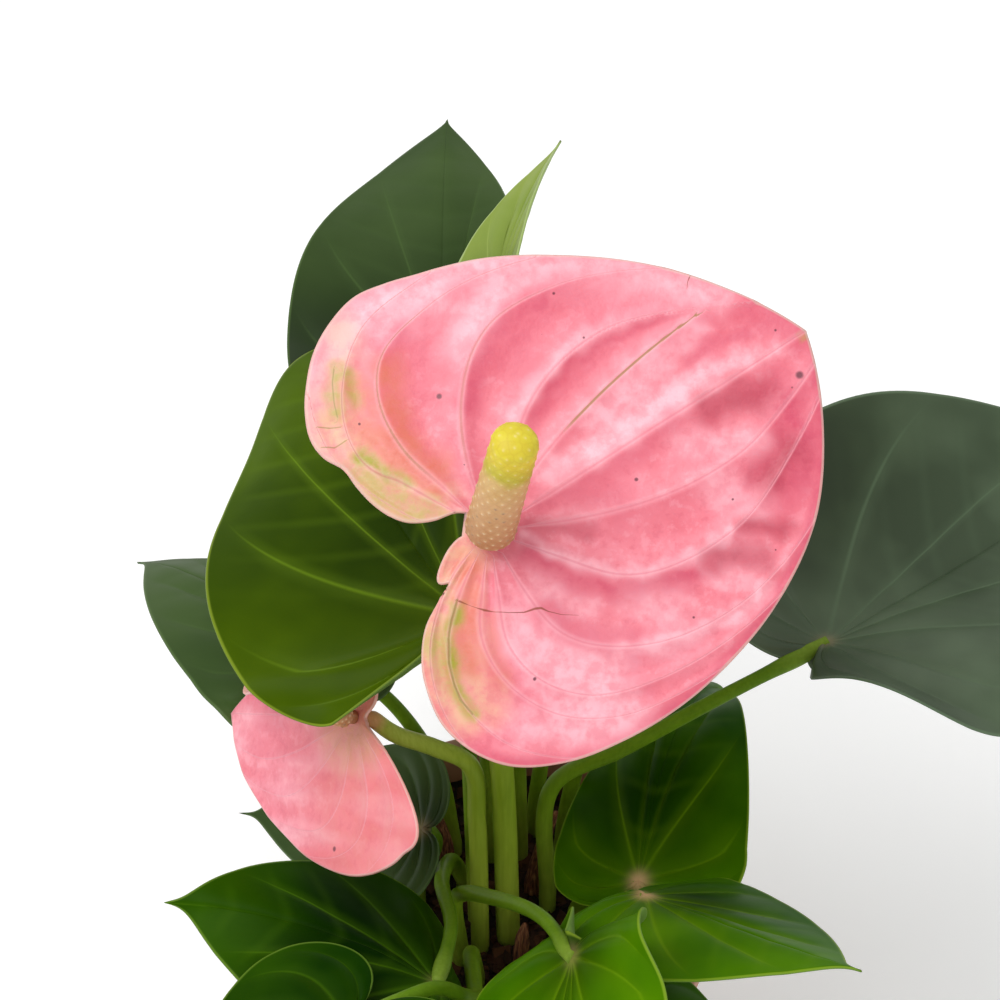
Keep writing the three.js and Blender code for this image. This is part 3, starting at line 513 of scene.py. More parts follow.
def leaf_surface(leaf, angle, rho):
    """Mid-surface points of a blade in its own axes, with the fields that its finish reads."""
    edge_x, edge_y = leaf_edge(leaf, angle)
    x, y = edge_x * rho, edge_y * rho
    half = leaf["width"] / 2
    right = y < 0
    fold = np.radians(np.where(right, leaf["fold"][1], leaf["fold"][0]))
    cup = np.radians(np.where(right, leaf["cup"][1], leaf["cup"][0]))
    cup = np.where(np.abs(cup) < 1e-4, 1e-4, cup)
    v = np.abs(y) / half
    flat_across = np.sign(y) * (np.sin(fold + cup * v) - np.sin(fold)) * half / cup
    flat_high = (np.cos(fold) - np.cos(fold + cup * v)) * half / cup
    twist = math.radians(leaf.get("twist", 0)) * x / leaf["length"]
    across = flat_across * np.cos(twist) - flat_high * np.sin(twist)
    high = flat_across * np.sin(twist) + flat_high * np.cos(twist)
    if "ripple" in leaf:
        wave = np.sin(leaf["ripples"] * np.radians(angle) + math.radians(leaf["phase"]))
        high = high + leaf["ripple"] * rho ** 3 * wave
    out = np.broadcast_to(rho, x.shape)
    away = np.abs(angle) + 0 * x
    veins = [start * (1 - 0.16 * (start / 90) * out ** 3) for start in LEAF_VEINS]
    count, gap = between_veins(away, veins)
    spread = np.hypot(x, y)
    gap = np.maximum(np.radians(gap) * spread, 0.4)
    whole = np.abs(count - np.round(count)) * gap
    reach = np.sin(math.pi * np.minimum(out, 0.95))
    high = high + LEAF_PUCKER * reach * np.abs(np.sin(math.pi * count)) ** 0.8
    lateral = (x - 0.5 * np.abs(y) - 0.0035 * y ** 2 * 100 / leaf["length"]) / LATERAL_SPACING
    lateral += 0.1 * wobble(np.stack([x, y], axis=-1), 40, 5)
    fan = (1 - smoothstep(away, 38, 84)) * smoothstep(lateral, 0.25, 1.1)
    fan *= 1 - smoothstep(out, 0.86, 1)
    high = high + 0.14 * fan * np.abs(np.sin(math.pi * lateral)) - 0.18 * np.exp(-(whole / 1.6) ** 2) * reach
    flat = np.stack([x, y], axis=-1)
    high = high + (0.05 * wobble(flat, 9, 7) + 0.3 * wobble(flat, 26, 8)) * smoothstep(out, 0.05, 0.3)
    high = high + 0.5 * np.exp(-(spread / 2.6) ** 2)
    along, down, slope = midrib_at(leaf, x)
    points = np.stack([along + high * np.sin(slope), across, down + high * np.cos(slope)], axis=-1)
    strength = np.interp(away, [0, 20, 50, 66, 98, 129, 150, 180], [1, 1, 0.8, 0.8, 0.6, 0.5, 0.3, 0])
    strength = strength * (1 - smoothstep(out, 0.72, 1) * smoothstep(away, 5, 25))
    edge_gap = (1 - out) * np.hypot(edge_x, edge_y)
    # Painted shade: a darker patch on the blade, either listed for the leaf or, by default, a small one where
    # the stalk meets the blade.
    shade_x, shade_y, shade_size = leaf.get("dim", (0, 0, 12))
    dim = np.exp(-((x - shade_x) ** 2 + (y - shade_y) ** 2) / shade_size ** 2)
    joint = leaf.get("joint", 0.25) * np.exp(-(spread / 2.4) ** 2)
    fields = {"count": count, "gap": gap, "strength": strength, "lateral": lateral + 100, "fan": fan,
              "edge": edge_gap, "out": out + 0 * x, "dim": dim, "joint": joint}
    return points, fields


def leaf_finish(name, dark, body, vein, margin, under, gloss, shine):
    """Leaf cuticle over green tissue. Waxy, so it shines; softly paler along veins and margin, darker under
    painted shade.
    """
    material, place = begin_material(name)
    field = {key: add_node(material, "Attribute", {}, "Fac", attribute_name=key)
             for key in ("count", "gap", "strength", "lateral", "fan",
                         "edge", "under", "out", "dim", "joint")}
    clouds, cells = (
        add_node(material, "TexNoise", {"Vector": place, "Scale": 1 / (size * MM), "Detail": 3})
        for size in (40, 1.6))
    cloud = add_node(material, "MapRange", [clouds, 0.36, 0.64, 0, 1])
    fleck = add_node(material, "Math", [cells, 0.16], operation="MULTIPLY")
    lateral_off = add_node(material, "Math", [field["lateral"], 0.5], operation="PINGPONG")
    vein_off = add_node(material, "Math", [field["count"], 0.5], operation="PINGPONG")
    vein_gap = add_node(material, "Math", [vein_off, field["gap"]], operation="MULTIPLY")
    vein_width = add_node(material, "MapRange", [field["out"], 0, 1, 1.1, 0.5])
    # The third layer is painted shade. It darkens the green where the bloom shades the blade.
    layers = [(cloud, body), (fleck, dark), (field["dim"], "#74883C", "MULTIPLY")]
    for distance, width, most, mask in (
            (lateral_off, 0.2, 0.09, field["fan"]), (vein_gap, 4, 0.2, field["strength"]),
            (vein_gap, vein_width, 0.5, field["strength"])):
        band = add_node(material, "MapRange", [distance, 0, width, most, 0], interpolation_type="SMOOTHSTEP")
        layers.append((add_node(material, "Math", [band, mask], operation="MULTIPLY"), vein))
    rim = add_node(material, "MapRange", [field["edge"], 0.1, 0.7, 0.6, 0], interpolation_type="SMOOTHSTEP")
    layers += [(rim, margin), (field["joint"], "#C9A27A"), (field["under"], under)]
    wax = add_node(material, "MapRange", [clouds, 0, 1, gloss - 0.05, gloss + 0.1])
    return end_material(material, linear(dark), layers, (cells, 0.18, 0.12),
                        {"Roughness": wax, "IOR": 1.42, "Specular IOR Level": shine})


# Cuticle over dense green tissue, in the tones that light and age give it. The tones for full
# light, the front, the inside of the plant and shade are painted light and painted shade on one
# green; the young one is pale with age.
LEAF_FINISHES = {
    "glossy": leaf_finish(
        "waxy leaf in full light", "#3A5200", "#506A00", "#6E8E1C", "#8CA030", "#5E7838", 0.34, 0.05),
    "bright": leaf_finish(
        "waxy leaf with painted front light", "#306000", "#548400", "#749A10", "#8CA830", "#6A8A40", 0.36, 0.02),
    "inner_shade": leaf_finish(
        "waxy leaf with painted inner shade", "#143A00", "#386200", "#4E7610", "#6E8E30", "#5A7A38", 0.36, 0.03),
    "shaded": leaf_finish(
        "waxy leaf in shade", "#32481C", "#405628", "#47602E", "#566E3C", "#4C6640", 0.45, 0.2),
    "grey": leaf_finish(
        "waxy leaf with a grey bloom", "#3A4A32", "#586A50", "#566C4E", "#62765A", "#526A4C", 0.42, 0.45),
    "young": leaf_finish("young leaf", "#7A9038", "#8FA048", "#9AAC5A", "#B4C888", "#98B060", 0.4, 0.3),
}


def stalk_rind(name, stretch, streak_size, tones, streak_tint, dapple_tint, rough, scatter):
    """Stalk rind: smooth, its tone changing from foot to top, with fine long streaks and dapples."""
    material, place = begin_material(name)
    along = add_node(material, "Attribute", {}, "Fac", attribute_name="along")
    stretched = add_node(material, "Mapping", {"Vector": place, "Scale": (1, 1, stretch)})
    streak, dapple = (
        add_node(material, "TexNoise", {"Vector": vector, "Scale": 1 / (size * MM), "Detail": detail})
        for vector, size, detail in ((stretched, streak_size, 3), (place, 7, 2)))
    rise = add_node(material, "ValToRGB", [along], stops=tones)
    return end_material(
        material, rise, [(streak, streak_tint, "MULTIPLY"), (dapple, dapple_tint, "MULTIPLY")],
        (streak, 0.25, 0.1), {
            "Roughness": rough, "IOR": 1.42, "Specular IOR Level": 0.08, "Subsurface Weight": 0.1,
            "Subsurface Radius": scatter, "Subsurface Scale": 1.5 * MM})


# Leaf-stalk rind: yellow-green low down and greener near the blade.
STALK_RIND = stalk_rind(
    "leaf stalk rind", 0.1, 0.8, ((0, "#A3B443"), (0.25, "#7C9C20"), (0.86, "#6C9020"), (1, "#93AE48")),
    "#C9D2AE", "#D3D8B6", 0.42, (0.5, 1, 0.2))

STALK_STEPS = 56
STALK_SIDES = 20
LARGE_LEAF = 90.5
LARGE_GRID = (280, 76)
SMALL_GRID = (180, 44)
for leaf in LEAVES:
    columns, rows = LARGE_GRID if leaf["length"] > LARGE_LEAF else SMALL_GRID
    angles = -180 + 360 * np.arange(columns) / columns
    spread = np.linspace(0.012, 1, rows)
    surface, fields = leaf_surface(leaf, angles[None, :], spread[:, None])
    surface, turning = place_blade(leaf, surface)
    centre = surface[0].mean(axis=0)
    blade = sheet(centre, surface, spread, LEAF_THICKNESS, LEAF_EDGE_THICKNESS, fields)
    arriving = np.array(turning @ Vector((0, 0, 0.8)) + turning @ Vector((0.35, 0, 0)))
    path = stalk_path(leaf, centre, arriving / np.linalg.norm(arriving), STALK_STEPS)
    share = np.linspace(0, 1, len(path))
    knuckle = KNUCKLE_SWELL * np.exp(-((share - 0.93) / 0.05) ** 2)
    radii = STALK_FOOT_RADIUS + (STALK_TOP_RADIUS - STALK_FOOT_RADIUS) * share + knuckle
    stalk = bar(path, radii, STALK_SIDES)
    make_piece(leaf["name"] + "_grown", [(*blade, 0), (*stalk, 1)],
               [LEAF_FINISHES[leaf["finish"]], STALK_RIND],
               [leaf["name"]])


# The dry sheaths. Papery brown remains of the scales that wrapped old leaves, split and shrunk
# round nothing now. They stand in the mix among the stalks and are only fibre and dry skin.
SHEATHS = [
    dict(name="sheath_right", foot=(5, 8), height=28, radius=2.4, lean=(6, 4)),
    dict(name="sheath_front", foot=(2, -13), height=20, radius=2.2, lean=(1, -3)),
    dict(name="sheath_back", foot=(-16, 14), height=24, radius=2.2, lean=(-3, 2)),
]
SHEATH_SIDES = 28
PLEATS = 7
PLEAT_DEPTH = 0.16

material, place = begin_material("dry papery sheath")
stretched = add_node(material, "Mapping", {"Vector": place, "Scale": (1, 1, 0.08)})
fibre = add_node(material, "TexNoise", {"Vector": stretched, "Scale": 1 / (0.5 * MM), "Detail": 5})
paper = add_node(material, "ValToRGB", [fibre], stops=((0.3, "#3B1E12"), (0.5, "#74422A"), (0.7, "#A8734A")))
DRY_SHEATH = end_material(material, paper, [], (fibre, 0.7, 0.25), {"Roughness": 0.82, "IOR": 1.45})

for number, sheath in enumerate(SHEATHS):
    x, y = sheath["foot"]
    lean_x, lean_y = sheath["lean"]
    top = np.array([x + lean_x, y + lean_y, MIX_TOP + sheath["height"]], float)
    low = np.array([x, y, MIX_TOP - STEM_DEPTH], float)
    path = cubic(low, low + (0, 0, 16), top - (lean_x * 0.6, lean_y * 0.6, 10), top, 40)
    share = np.linspace(0, 1, len(path))
    radii = sheath["radius"] * (1 - 0.8 * share ** 2.2) * (1 + 0.06 * np.sin(9 * share + number))
    points, faces, _ = bar(path, radii, SHEATH_SIDES)
    ragged = points[1:-1].reshape(len(path), SHEATH_SIDES, 3)
    pleat = PLEAT_DEPTH * np.cos(PLEATS * 2 * math.pi * np.arange(SHEATH_SIDES) / SHEATH_SIDES)
    pleat = pleat[None, :, None] * (0.4 + share)[:, None, None]
    ragged += (ragged - path[:, None, :]) * pleat
    points[1:-1] = ragged.reshape(-1, 3)
    make_piece(
        sheath["name"] + "_dry", [(points, faces, {}, 0)], [DRY_SHEATH], [sheath["name"]])


# The flower stalks. Two firm round stems, thicker than the leaf stalks, that rise from the crown
# in the mix and end square under each spathe, which grows from them.
SPATHE_THICKNESS = 1
MAIN_FLOWER = dict(
    name="main", at=(-5, -24.5, 270), foot=(-1, -6), turn=28, lift=17.6, roll=29.6,
    left=[
        (0, 77), (15, 69.5), (30, 63.6), (45, 59.4, 45, 37), (60, 57.5, 60, 45), (72, 56.4, 72, 51),
        (80, 56.8, 80, 55), (87, 57.1, 87, 58), (94, 55.3, 94, 61.5), (101, 52.6, 101, 65),
        (108, 48.8, 108, 68.5), (114, 45.4, 114, 71.5), (120, 41.5, 119.6, 74.5), (125, 37.4, 122.7, 77),
        (130, 32.6, 123.8, 79.5), (135, 28.5, 128.5, 82), (140, 24.5, 133.5, 84.5), (145, 20.5, 137.8, 87),
        (150, 17, 139.8, 89.5), (155, 14, 138.3, 92), (160, 11.6, 134, 94.5), (165, 10, 127.5, 97),
        (170, 8.6, 119.5, 99.5), (175, 7.3, 112.5, 102), (180, 6.2, 107.5, 104.5)],
    right=[
        (0, 77), (15, 71.5), (30, 66.5), (45, 60.6), (60, 55.6), (75, 52.2), (90, 50), (105, 48.9),
        (120, 46.9), (135, 41), (145, 33.9), (150, 29.8, 150), (155, 23.5, 156), (160, 18.3, 158.2),
        (165, 13.3, 160.5, 166), (170, 14.6, 168.8, 175), (175, 10.6, 183, 188), (180, 5.6, 203, 203)],
    length=77, half_width=55,
    droop=4, tip_drop=0, fold=0, stalk_radius=(3, 2.5),
    via=[(-2, -8, 150), (-4.5, -15, 220), (-5, -19.5, 255)],
    spadix_length=35.5, spadix_radius=5.3, spadix_lean=(0.15, -0.161, 0.977))
SECOND_FLOWER = dict(
    name="second", at=(-35, -18, 200), foot=(-8, -9), turn=143.7, lift=-35.7, roll=-45.3,
    left=[
        (0, 51.5), (15, 47.3), (30, 41.8), (45, 38), (60, 36.2), (75, 35.2), (90, 34.9), (105, 34.6),
        (120, 34.2), (135, 32), (150, 8), (165, 4), (180, 3.2)],
    right=[
        (0, 51.5), (15, 36), (30, 27), (45, 22), (60, 19), (75, 17), (90, 15), (105, 13), (120, 11),
        (135, 9), (150, 7), (165, 4), (180, 3.2)],
    length=51.5, half_width=34.9,
    droop=3, tip_drop=3, fold=72, stalk_radius=(2.3, 1.9),
    via=[(-8.5, -9, 148), (-10, -9.5, 171), (-18, -12, 181), (-27, -16, 191.5)],
    spadix_length=13, spadix_radius=2.6, spadix_lean=(-0.7, -0.25, 0.62))
FLOWERS = [MAIN_FLOWER, SECOND_FLOWER]
FLOWER_STALK_STEPS = 60
FLOWER_STALK_SIDES = 28

# Flower-stalk rind: as the leaf stalk's but a brighter, yellower green, warm just under the bloom.
FLOWER_STALK_RIND = stalk_rind(
    "flower stalk rind", 0.07, 0.9, ((0, "#A9B844"), (0.3, "#8CA42C"), (0.9, "#B0B854"), (1, "#D39A74")),
    "#C8CFA0", "#FFFFFF", 0.4, (0.6, 1, 0.2))

for flower in FLOWERS:
    _, turning = place_blade(flower, np.zeros((1, 3)))
    up = np.array(turning @ Vector((0, 0, 1)))
    end = np.array(flower["at"], float) - up * (SPATHE_THICKNESS / 2 + FIT_GAP)
    path = np.concatenate([stalk_path(flower, end - up * 4, up, FLOWER_STALK_STEPS), [end]])
    radii = np.interp(np.linspace(0, 1, len(path)), [0, 1], flower["stalk_radius"])
    stalk = bar(path, radii, FLOWER_STALK_SIDES)
    make_piece(flower["name"] + "_flower_stalk_grown", [(*stalk, 0)], [FLOWER_STALK_RIND],
               [flower["name"] + "_flower_stalk"])


# The spathes. The bract that the flower is known for: thick, waxy and heart-shaped, quilted
# between arching veins. Pink, deeper at the right margin, fading to cream and green at the lobes.
# Its rose, deep and pale tints are partly its own colour and partly painted shade and painted
# highlight along the quilting.
SPATHE_EDGE_THICKNESS = 0.8
SEAT_RADIUS = 5
CREST_HEIGHT = 0.22
CREST_WIDTH = 1.5
CRINKLE = 0.35
FAR = 9.0
VEIN_STATIONS = (0, 0.25, 0.5, 0.75, 0.9, 1)
MAIN_FLOWER.update(spathe_grid=(480, 130), quilt=1.1)
SECOND_FLOWER.update(spathe_grid=(240, 80), quilt=0.6)
MAIN_FLOWER["left_veins"] = [
    (0, 0, 0, 0, 0, 0), (24, 23, 19.5, 16, 14, 13), (44, 43, 39.5, 28, 15, 8),
    (78, 76, 69.5, 58, 42, 24), (104, 104, 103.5, 92, 69, 48), (118, 118, 118, 117, 92, 70),
    (142, 142, 142, 140, 128, 110)]
MAIN_FLOWER["right_veins"] = [
    (0, 0, 0, 0, 0, 0), (24, 24, 21, 15, 9, 5), (53, 52.5, 50, 32.5, 18, 10),
    (94, 93, 87, 66.5, 48, 30), (116, 115.5, 113, 93, 66, 44), (131, 130.5, 127, 107, 86, 62),
    (151, 150, 148, 140, 121, 98), (167, 167, 166, 162, 150, 130)]
SECOND_FLOWER["left_veins"] = [
    (0, 0, 0, 0, 0, 0), (22, 22, 21, 17, 12, 7), (48, 48, 45, 38, 27, 17),
    (84, 84, 80, 68, 50, 34), (112, 112, 110, 98, 80, 60), (135, 135, 134, 126, 112, 96)]
SECOND_FLOWER["right_veins"] = SECOND_FLOWER["left_veins"]
MAIN_FLOWER["vein_reach"] = [
    (77, 69.5, 63.5, 59, 57, 55.7, 55, 49.5, 39.5, 22, 10.5, 4.5, 3.2),
    (77, 71.5, 66.5, 60.5, 55.5, 52.5, 51, 49.5, 46.5, 40.5, 29.5, 13.5, 3.2)]
SECOND_FLOWER["vein_reach"] = [[row[1] for row in SECOND_FLOWER[half]] for half in ("left", "right")]


def smooth_through(stations, values, at):
    """A smooth curve through values at rising stations, read at places of any shape."""
    stations, values = np.array(stations, float), np.array(values, float)
    number = np.arange(len(stations))
    before, after = np.maximum(number - 1, 0), np.minimum(number + 1, len(stations) - 1)
    slopes = (values[after] - values[before]) / (stations[after] - stations[before])
    i = np.clip(np.searchsorted(stations, at, side="right") - 1, 0, len(stations) - 2)
    span = stations[i + 1] - stations[i]
    f = np.clip((at - stations[i]) / span, 0, 1)
    leaving = (2 * f ** 3 - 3 * f ** 2 + 1) * values[i] + (f ** 3 - 2 * f ** 2 + f) * span * slopes[i]
    return leaving + (3 * f ** 2 - 2 * f ** 3) * values[i + 1] + (f ** 3 - f ** 2) * span * slopes[i + 1]


def spathe_edge(flower, column):
    """Where each column ends, by smooth curves through the rows of its half's outline: how far
    from the stalk, at what angle, and the angle at which it leaves the seat."""
    found = np.zeros((3, *column.shape))
    for half, mask in ((flower["right"], column < 0), (flower["left"], column >= 0)):
        rows = np.array([(*row, *[row[0]] * (4 - len(row))) for row in half], float)
        for n in range(3):
            found[n][mask] = smooth_through(rows[:, 0], rows[:, n + 1], np.abs(column[mask]))
    return found


def signed_count(flower, angle, r):
    """The vein count, counted from the midrib to the left, and below zero to the right of it."""
    sides = []
    for veins, table in zip((flower["left_veins"], flower["right_veins"]), flower["vein_reach"]):
        reach = smooth_through(np.arange(0, 181, 15), table, np.abs(angle))
        share = np.clip(r / reach, 0, 1)
        lines = [smooth_through(VEIN_STATIONS, vein, share) for vein in veins]
        sides.append(between_veins(np.abs(angle), lines))
    (left_count, left_gap), (right_count, right_gap) = sides
    return np.where(angle < 0, -right_count, left_count), np.where(angle < 0, right_gap, left_gap)


def spathe_surface(flower, column, rho):
    """Mid-surface points of a spathe in its own axes, with the fields that its finish reads."""
    edge, ending, leaving = spathe_edge(flower, column)
    seat = np.minimum(SEAT_RADIUS, 0.8 * edge)
    curl = smoothstep(ending - leaving, 0, 12)
    r = seat + (edge - seat) * rho ** (1 - 0.25 * curl)
    angle = np.sign(column) * (leaving + (ending - leaving) * rho ** (1 + 0.5 * curl))
    x, y = r * np.cos(np.radians(angle)), r * np.sin(np.radians(angle))
    out = r / edge
    count, gap = signed_count(flower, angle, r)
    gap = np.maximum(np.radians(gap) * r * 0.8, 0.3) + 8 * (1 - smoothstep(r, 6, 15))
    fraction = count - np.floor(count)
    ridge = np.minimum(fraction, 1 - fraction) * gap
    reach = np.sin(math.pi * np.clip(out * 1.04 - 0.02, 0, 0.93)) ** 0.8
    panel = np.sin(math.pi * fraction) ** 1.3
    flat = np.stack([x, y], axis=-1)
    swell = -flower["quilt"] * panel * reach * np.clip(gap / 12, 0, 1.15)
    swell += CREST_HEIGHT * np.exp(-(ridge / CREST_WIDTH) ** 2) * reach
    swell += CRINKLE * (0.7 * wobble(flat, 13, 21) + 0.25 * wobble(flat, 6, 22)) * reach
    sides = flower["droop"] * (y / flower["half_width"]) ** 2
    tip = flower["tip_drop"] * (np.maximum(x, 0) / flower["length"]) ** 2
    high = smoothstep(r, seat, 2.6 * SEAT_RADIUS) * (swell - sides - tip)
    turned_up = math.radians(flower["fold"]) * smoothstep(-y, SEAT_RADIUS, 2.5 * SEAT_RADIUS)
    points = np.stack([x, y * np.cos(turned_up), high * np.cos(turned_up) - y * np.sin(turned_up)], axis=-1)
    fields = {"count": count + 20, "gap": gap, "edge": edge - r, "out": out, "flat_x": x, "flat_y": y,
              "angle": angle}
    return points, fields


def near(flat_x, flat_y, spots, size):
    """How near places are to a chain of spots in the spathe's plane: 1 on it, 0 beyond size."""
    best = np.full(flat_x.shape, np.inf)
    for (ax, ay), (bx, by) in zip(spots, spots[1:]):
        length = (bx - ax) ** 2 + (by - ay) ** 2
        t = np.clip(((flat_x - ax) * (bx - ax) + (flat_y - ay) * (by - ay)) / length, 0, 1)
        best = np.minimum(best, np.hypot(flat_x - ax - t * (bx - ax), flat_y - ay - t * (by - ay)))
    return 1 - smoothstep(best, 0, size)


# Pigments and painted light, laid in this order: a tint, and how far the mottle of the skin breaks
# it up. The rose, pale and deep tints carry painted shade and painted highlight as well as colour.
TINTS_WITH_PAINTED_LIGHT = {"pale": ("#FDB8C4", 0.45), "rose": ("#D2506A", 0.35), "cream": ("#E8B494", 0.5),
            "salmon": ("#DA7260", 0.35), "deep": ("#B93F54", 0.25), "green": ("#A9A236", 0.4)}
# Dark specks of the skin: X and Y in the spathe's own plane, and the radius, in mm.
DARK_SPOTS = [(6.5, 29.5, 0.8), (71, -7, 1.1), (31, -7, 0.55), (38, 23.5, 0.35), (45.5, -21, 0.35),
              (38, 35, 0.4), (72, 3.5, 0.35), (25.5, -37, 0.35), (-8.5, -30, 0.45), (-10.5, 33.5, 0.4)]

# Waxy bract tissue: pigment lies in a juicy layer that light enters, under a shining skin.
material, place = begin_material("waxy pink spathe")
field = {key: add_node(material, "Attribute", {}, "Fac", attribute_name=key)
         for key in ("count", "gap", "edge", "under", "flat_x", "flat_y", *TINTS_WITH_PAINTED_LIGHT,
                     "ink", "line", "line_near", "scar", "scar_near")}
clouds, mottle, cells = (
    add_node(material, "TexNoise", {
        "Vector": place, "Scale": 1 / (size * MM), "Detail": detail, "Roughness": rough})
    for size, detail, rough in ((9, 4, 0.6), (3.4, 4, 0.62), (1.3, 3, 0.5)))
layers = [(add_node(material, "MapRange", [clouds, 0.35, 0.65, 0, 1]), "#EF8493")]
for low, high, tint in ((0.52, 0.66, "#F8A8B4"), (0.48, 0.34, "#D65C70")):
    layers.append((add_node(
        material, "MapRange", [mottle, low, high, 0, 0.4], interpolation_type="SMOOTHSTEP"), tint))
for key, (tint, ragged) in TINTS_WITH_PAINTED_LIGHT.items():
    broken = add_node(material, "MapRange", [mottle, 0.4, 0.58, 1 - ragged, 1])
    layers.append((add_node(
        material, "Math", [field[key], broken], operation="MULTIPLY", use_clamp=True), tint))
vein_off = add_node(material, "Math", [field["count"], 0.5], operation="PINGPONG")
vein_gap = add_node(material, "Math", [vein_off, field["gap"]], operation="MULTIPLY")
line_off, scar_off = (
    add_node(material, "Math", [field[key]], operation="ABSOLUTE") for key in ("line", "scar"))
flat = add_node(material, "CombineXYZ", {"X": field["flat_x"], "Y": field["flat_y"]})
# The first two marks are painted light and shade on each vein. The pale band is partly the vein's own paler
# tissue and partly a painted highlight on its crest. The thin darker line down its middle is painted shade in
# its groove.
marks = [(vein_gap, 0.1, 1, 0.24, 1, "#FCC3CC"), (vein_gap, 0.04, 0.26, 0.4, 1, "#D8687C"),
         (vein_gap, 0.06, 0.3, 0.85, field["ink"], "#A57B4A"),
         (line_off, 0.048, 0.24, 0.6, field["line_near"], "#8A8034"),
         (scar_off, 0.06, 0.3, 0.85, field["scar_near"], "#8E4426")]
for spot_x, spot_y, radius in DARK_SPOTS:
    off = add_node(
        material, "VectorMath", [flat, (spot_x, spot_y, 0)], "Value", operation="DISTANCE")
    marks.append((off, radius * 0.4, radius, 0.85, 1, "#5A2030"))
for distance, full, none, most, mask, tint in marks:
    mark = add_node(material, "MapRange", [distance, full, none, most, 0], interpolation_type="SMOOTHSTEP")
    layers.append((add_node(material, "Math", [mark, mask], operation="MULTIPLY"), tint))
specks = {"Vector": place, "Scale": 1 / (6.5 * MM), "Randomness": 1}
speck_off, speck_tone = (add_node(material, "TexVoronoi", specks, output) for output in ("Distance", "Color"))
speck_pick = add_node(material, "SeparateColor", {"Color": speck_tone}, "Green")
speck_size = add_node(material, "MapRange", [speck_pick, 0.4, 1, 0, 0.034])
speck = add_node(material, "Math", [speck_off, speck_size], operation="LESS_THAN")
speck_share = add_node(material, "Math", [speck, 0.8], operation="MULTIPLY")
margin = add_node(material, "MapRange", [field["edge"], 0, 0.4, 0.6, 0], interpolation_type="SMOOTHSTEP")
layers += [(speck_share, "#6E2A38"), (margin, "#DDBFB4"), (field["under"], "#E9A08F")]
wax = add_node(material, "MapRange", [clouds, 0, 1, 0.32, 0.46])
groove = add_node(material, "MapRange", [vein_gap, 0, 0.5, -1.6, 0], interpolation_type="SMOOTHSTEP")
pebbles = add_node(material, "Math", [mottle, 3, cells], operation="MULTIPLY_ADD")
skin_height = add_node(material, "Math", [pebbles, groove], operation="ADD")
SPATHE_SKIN = end_material(material, linear("#E4707F"), layers, (skin_height, 0.4, 0.16), {
    "Roughness": wax, "IOR": 1.43, "Subsurface Weight": 0.12, "Subsurface Radius": (1, 0.35, 0.3),
    "Subsurface Scale": 1.2 * MM, "Coat Weight": 0.08, "Coat Roughness": 0.25})
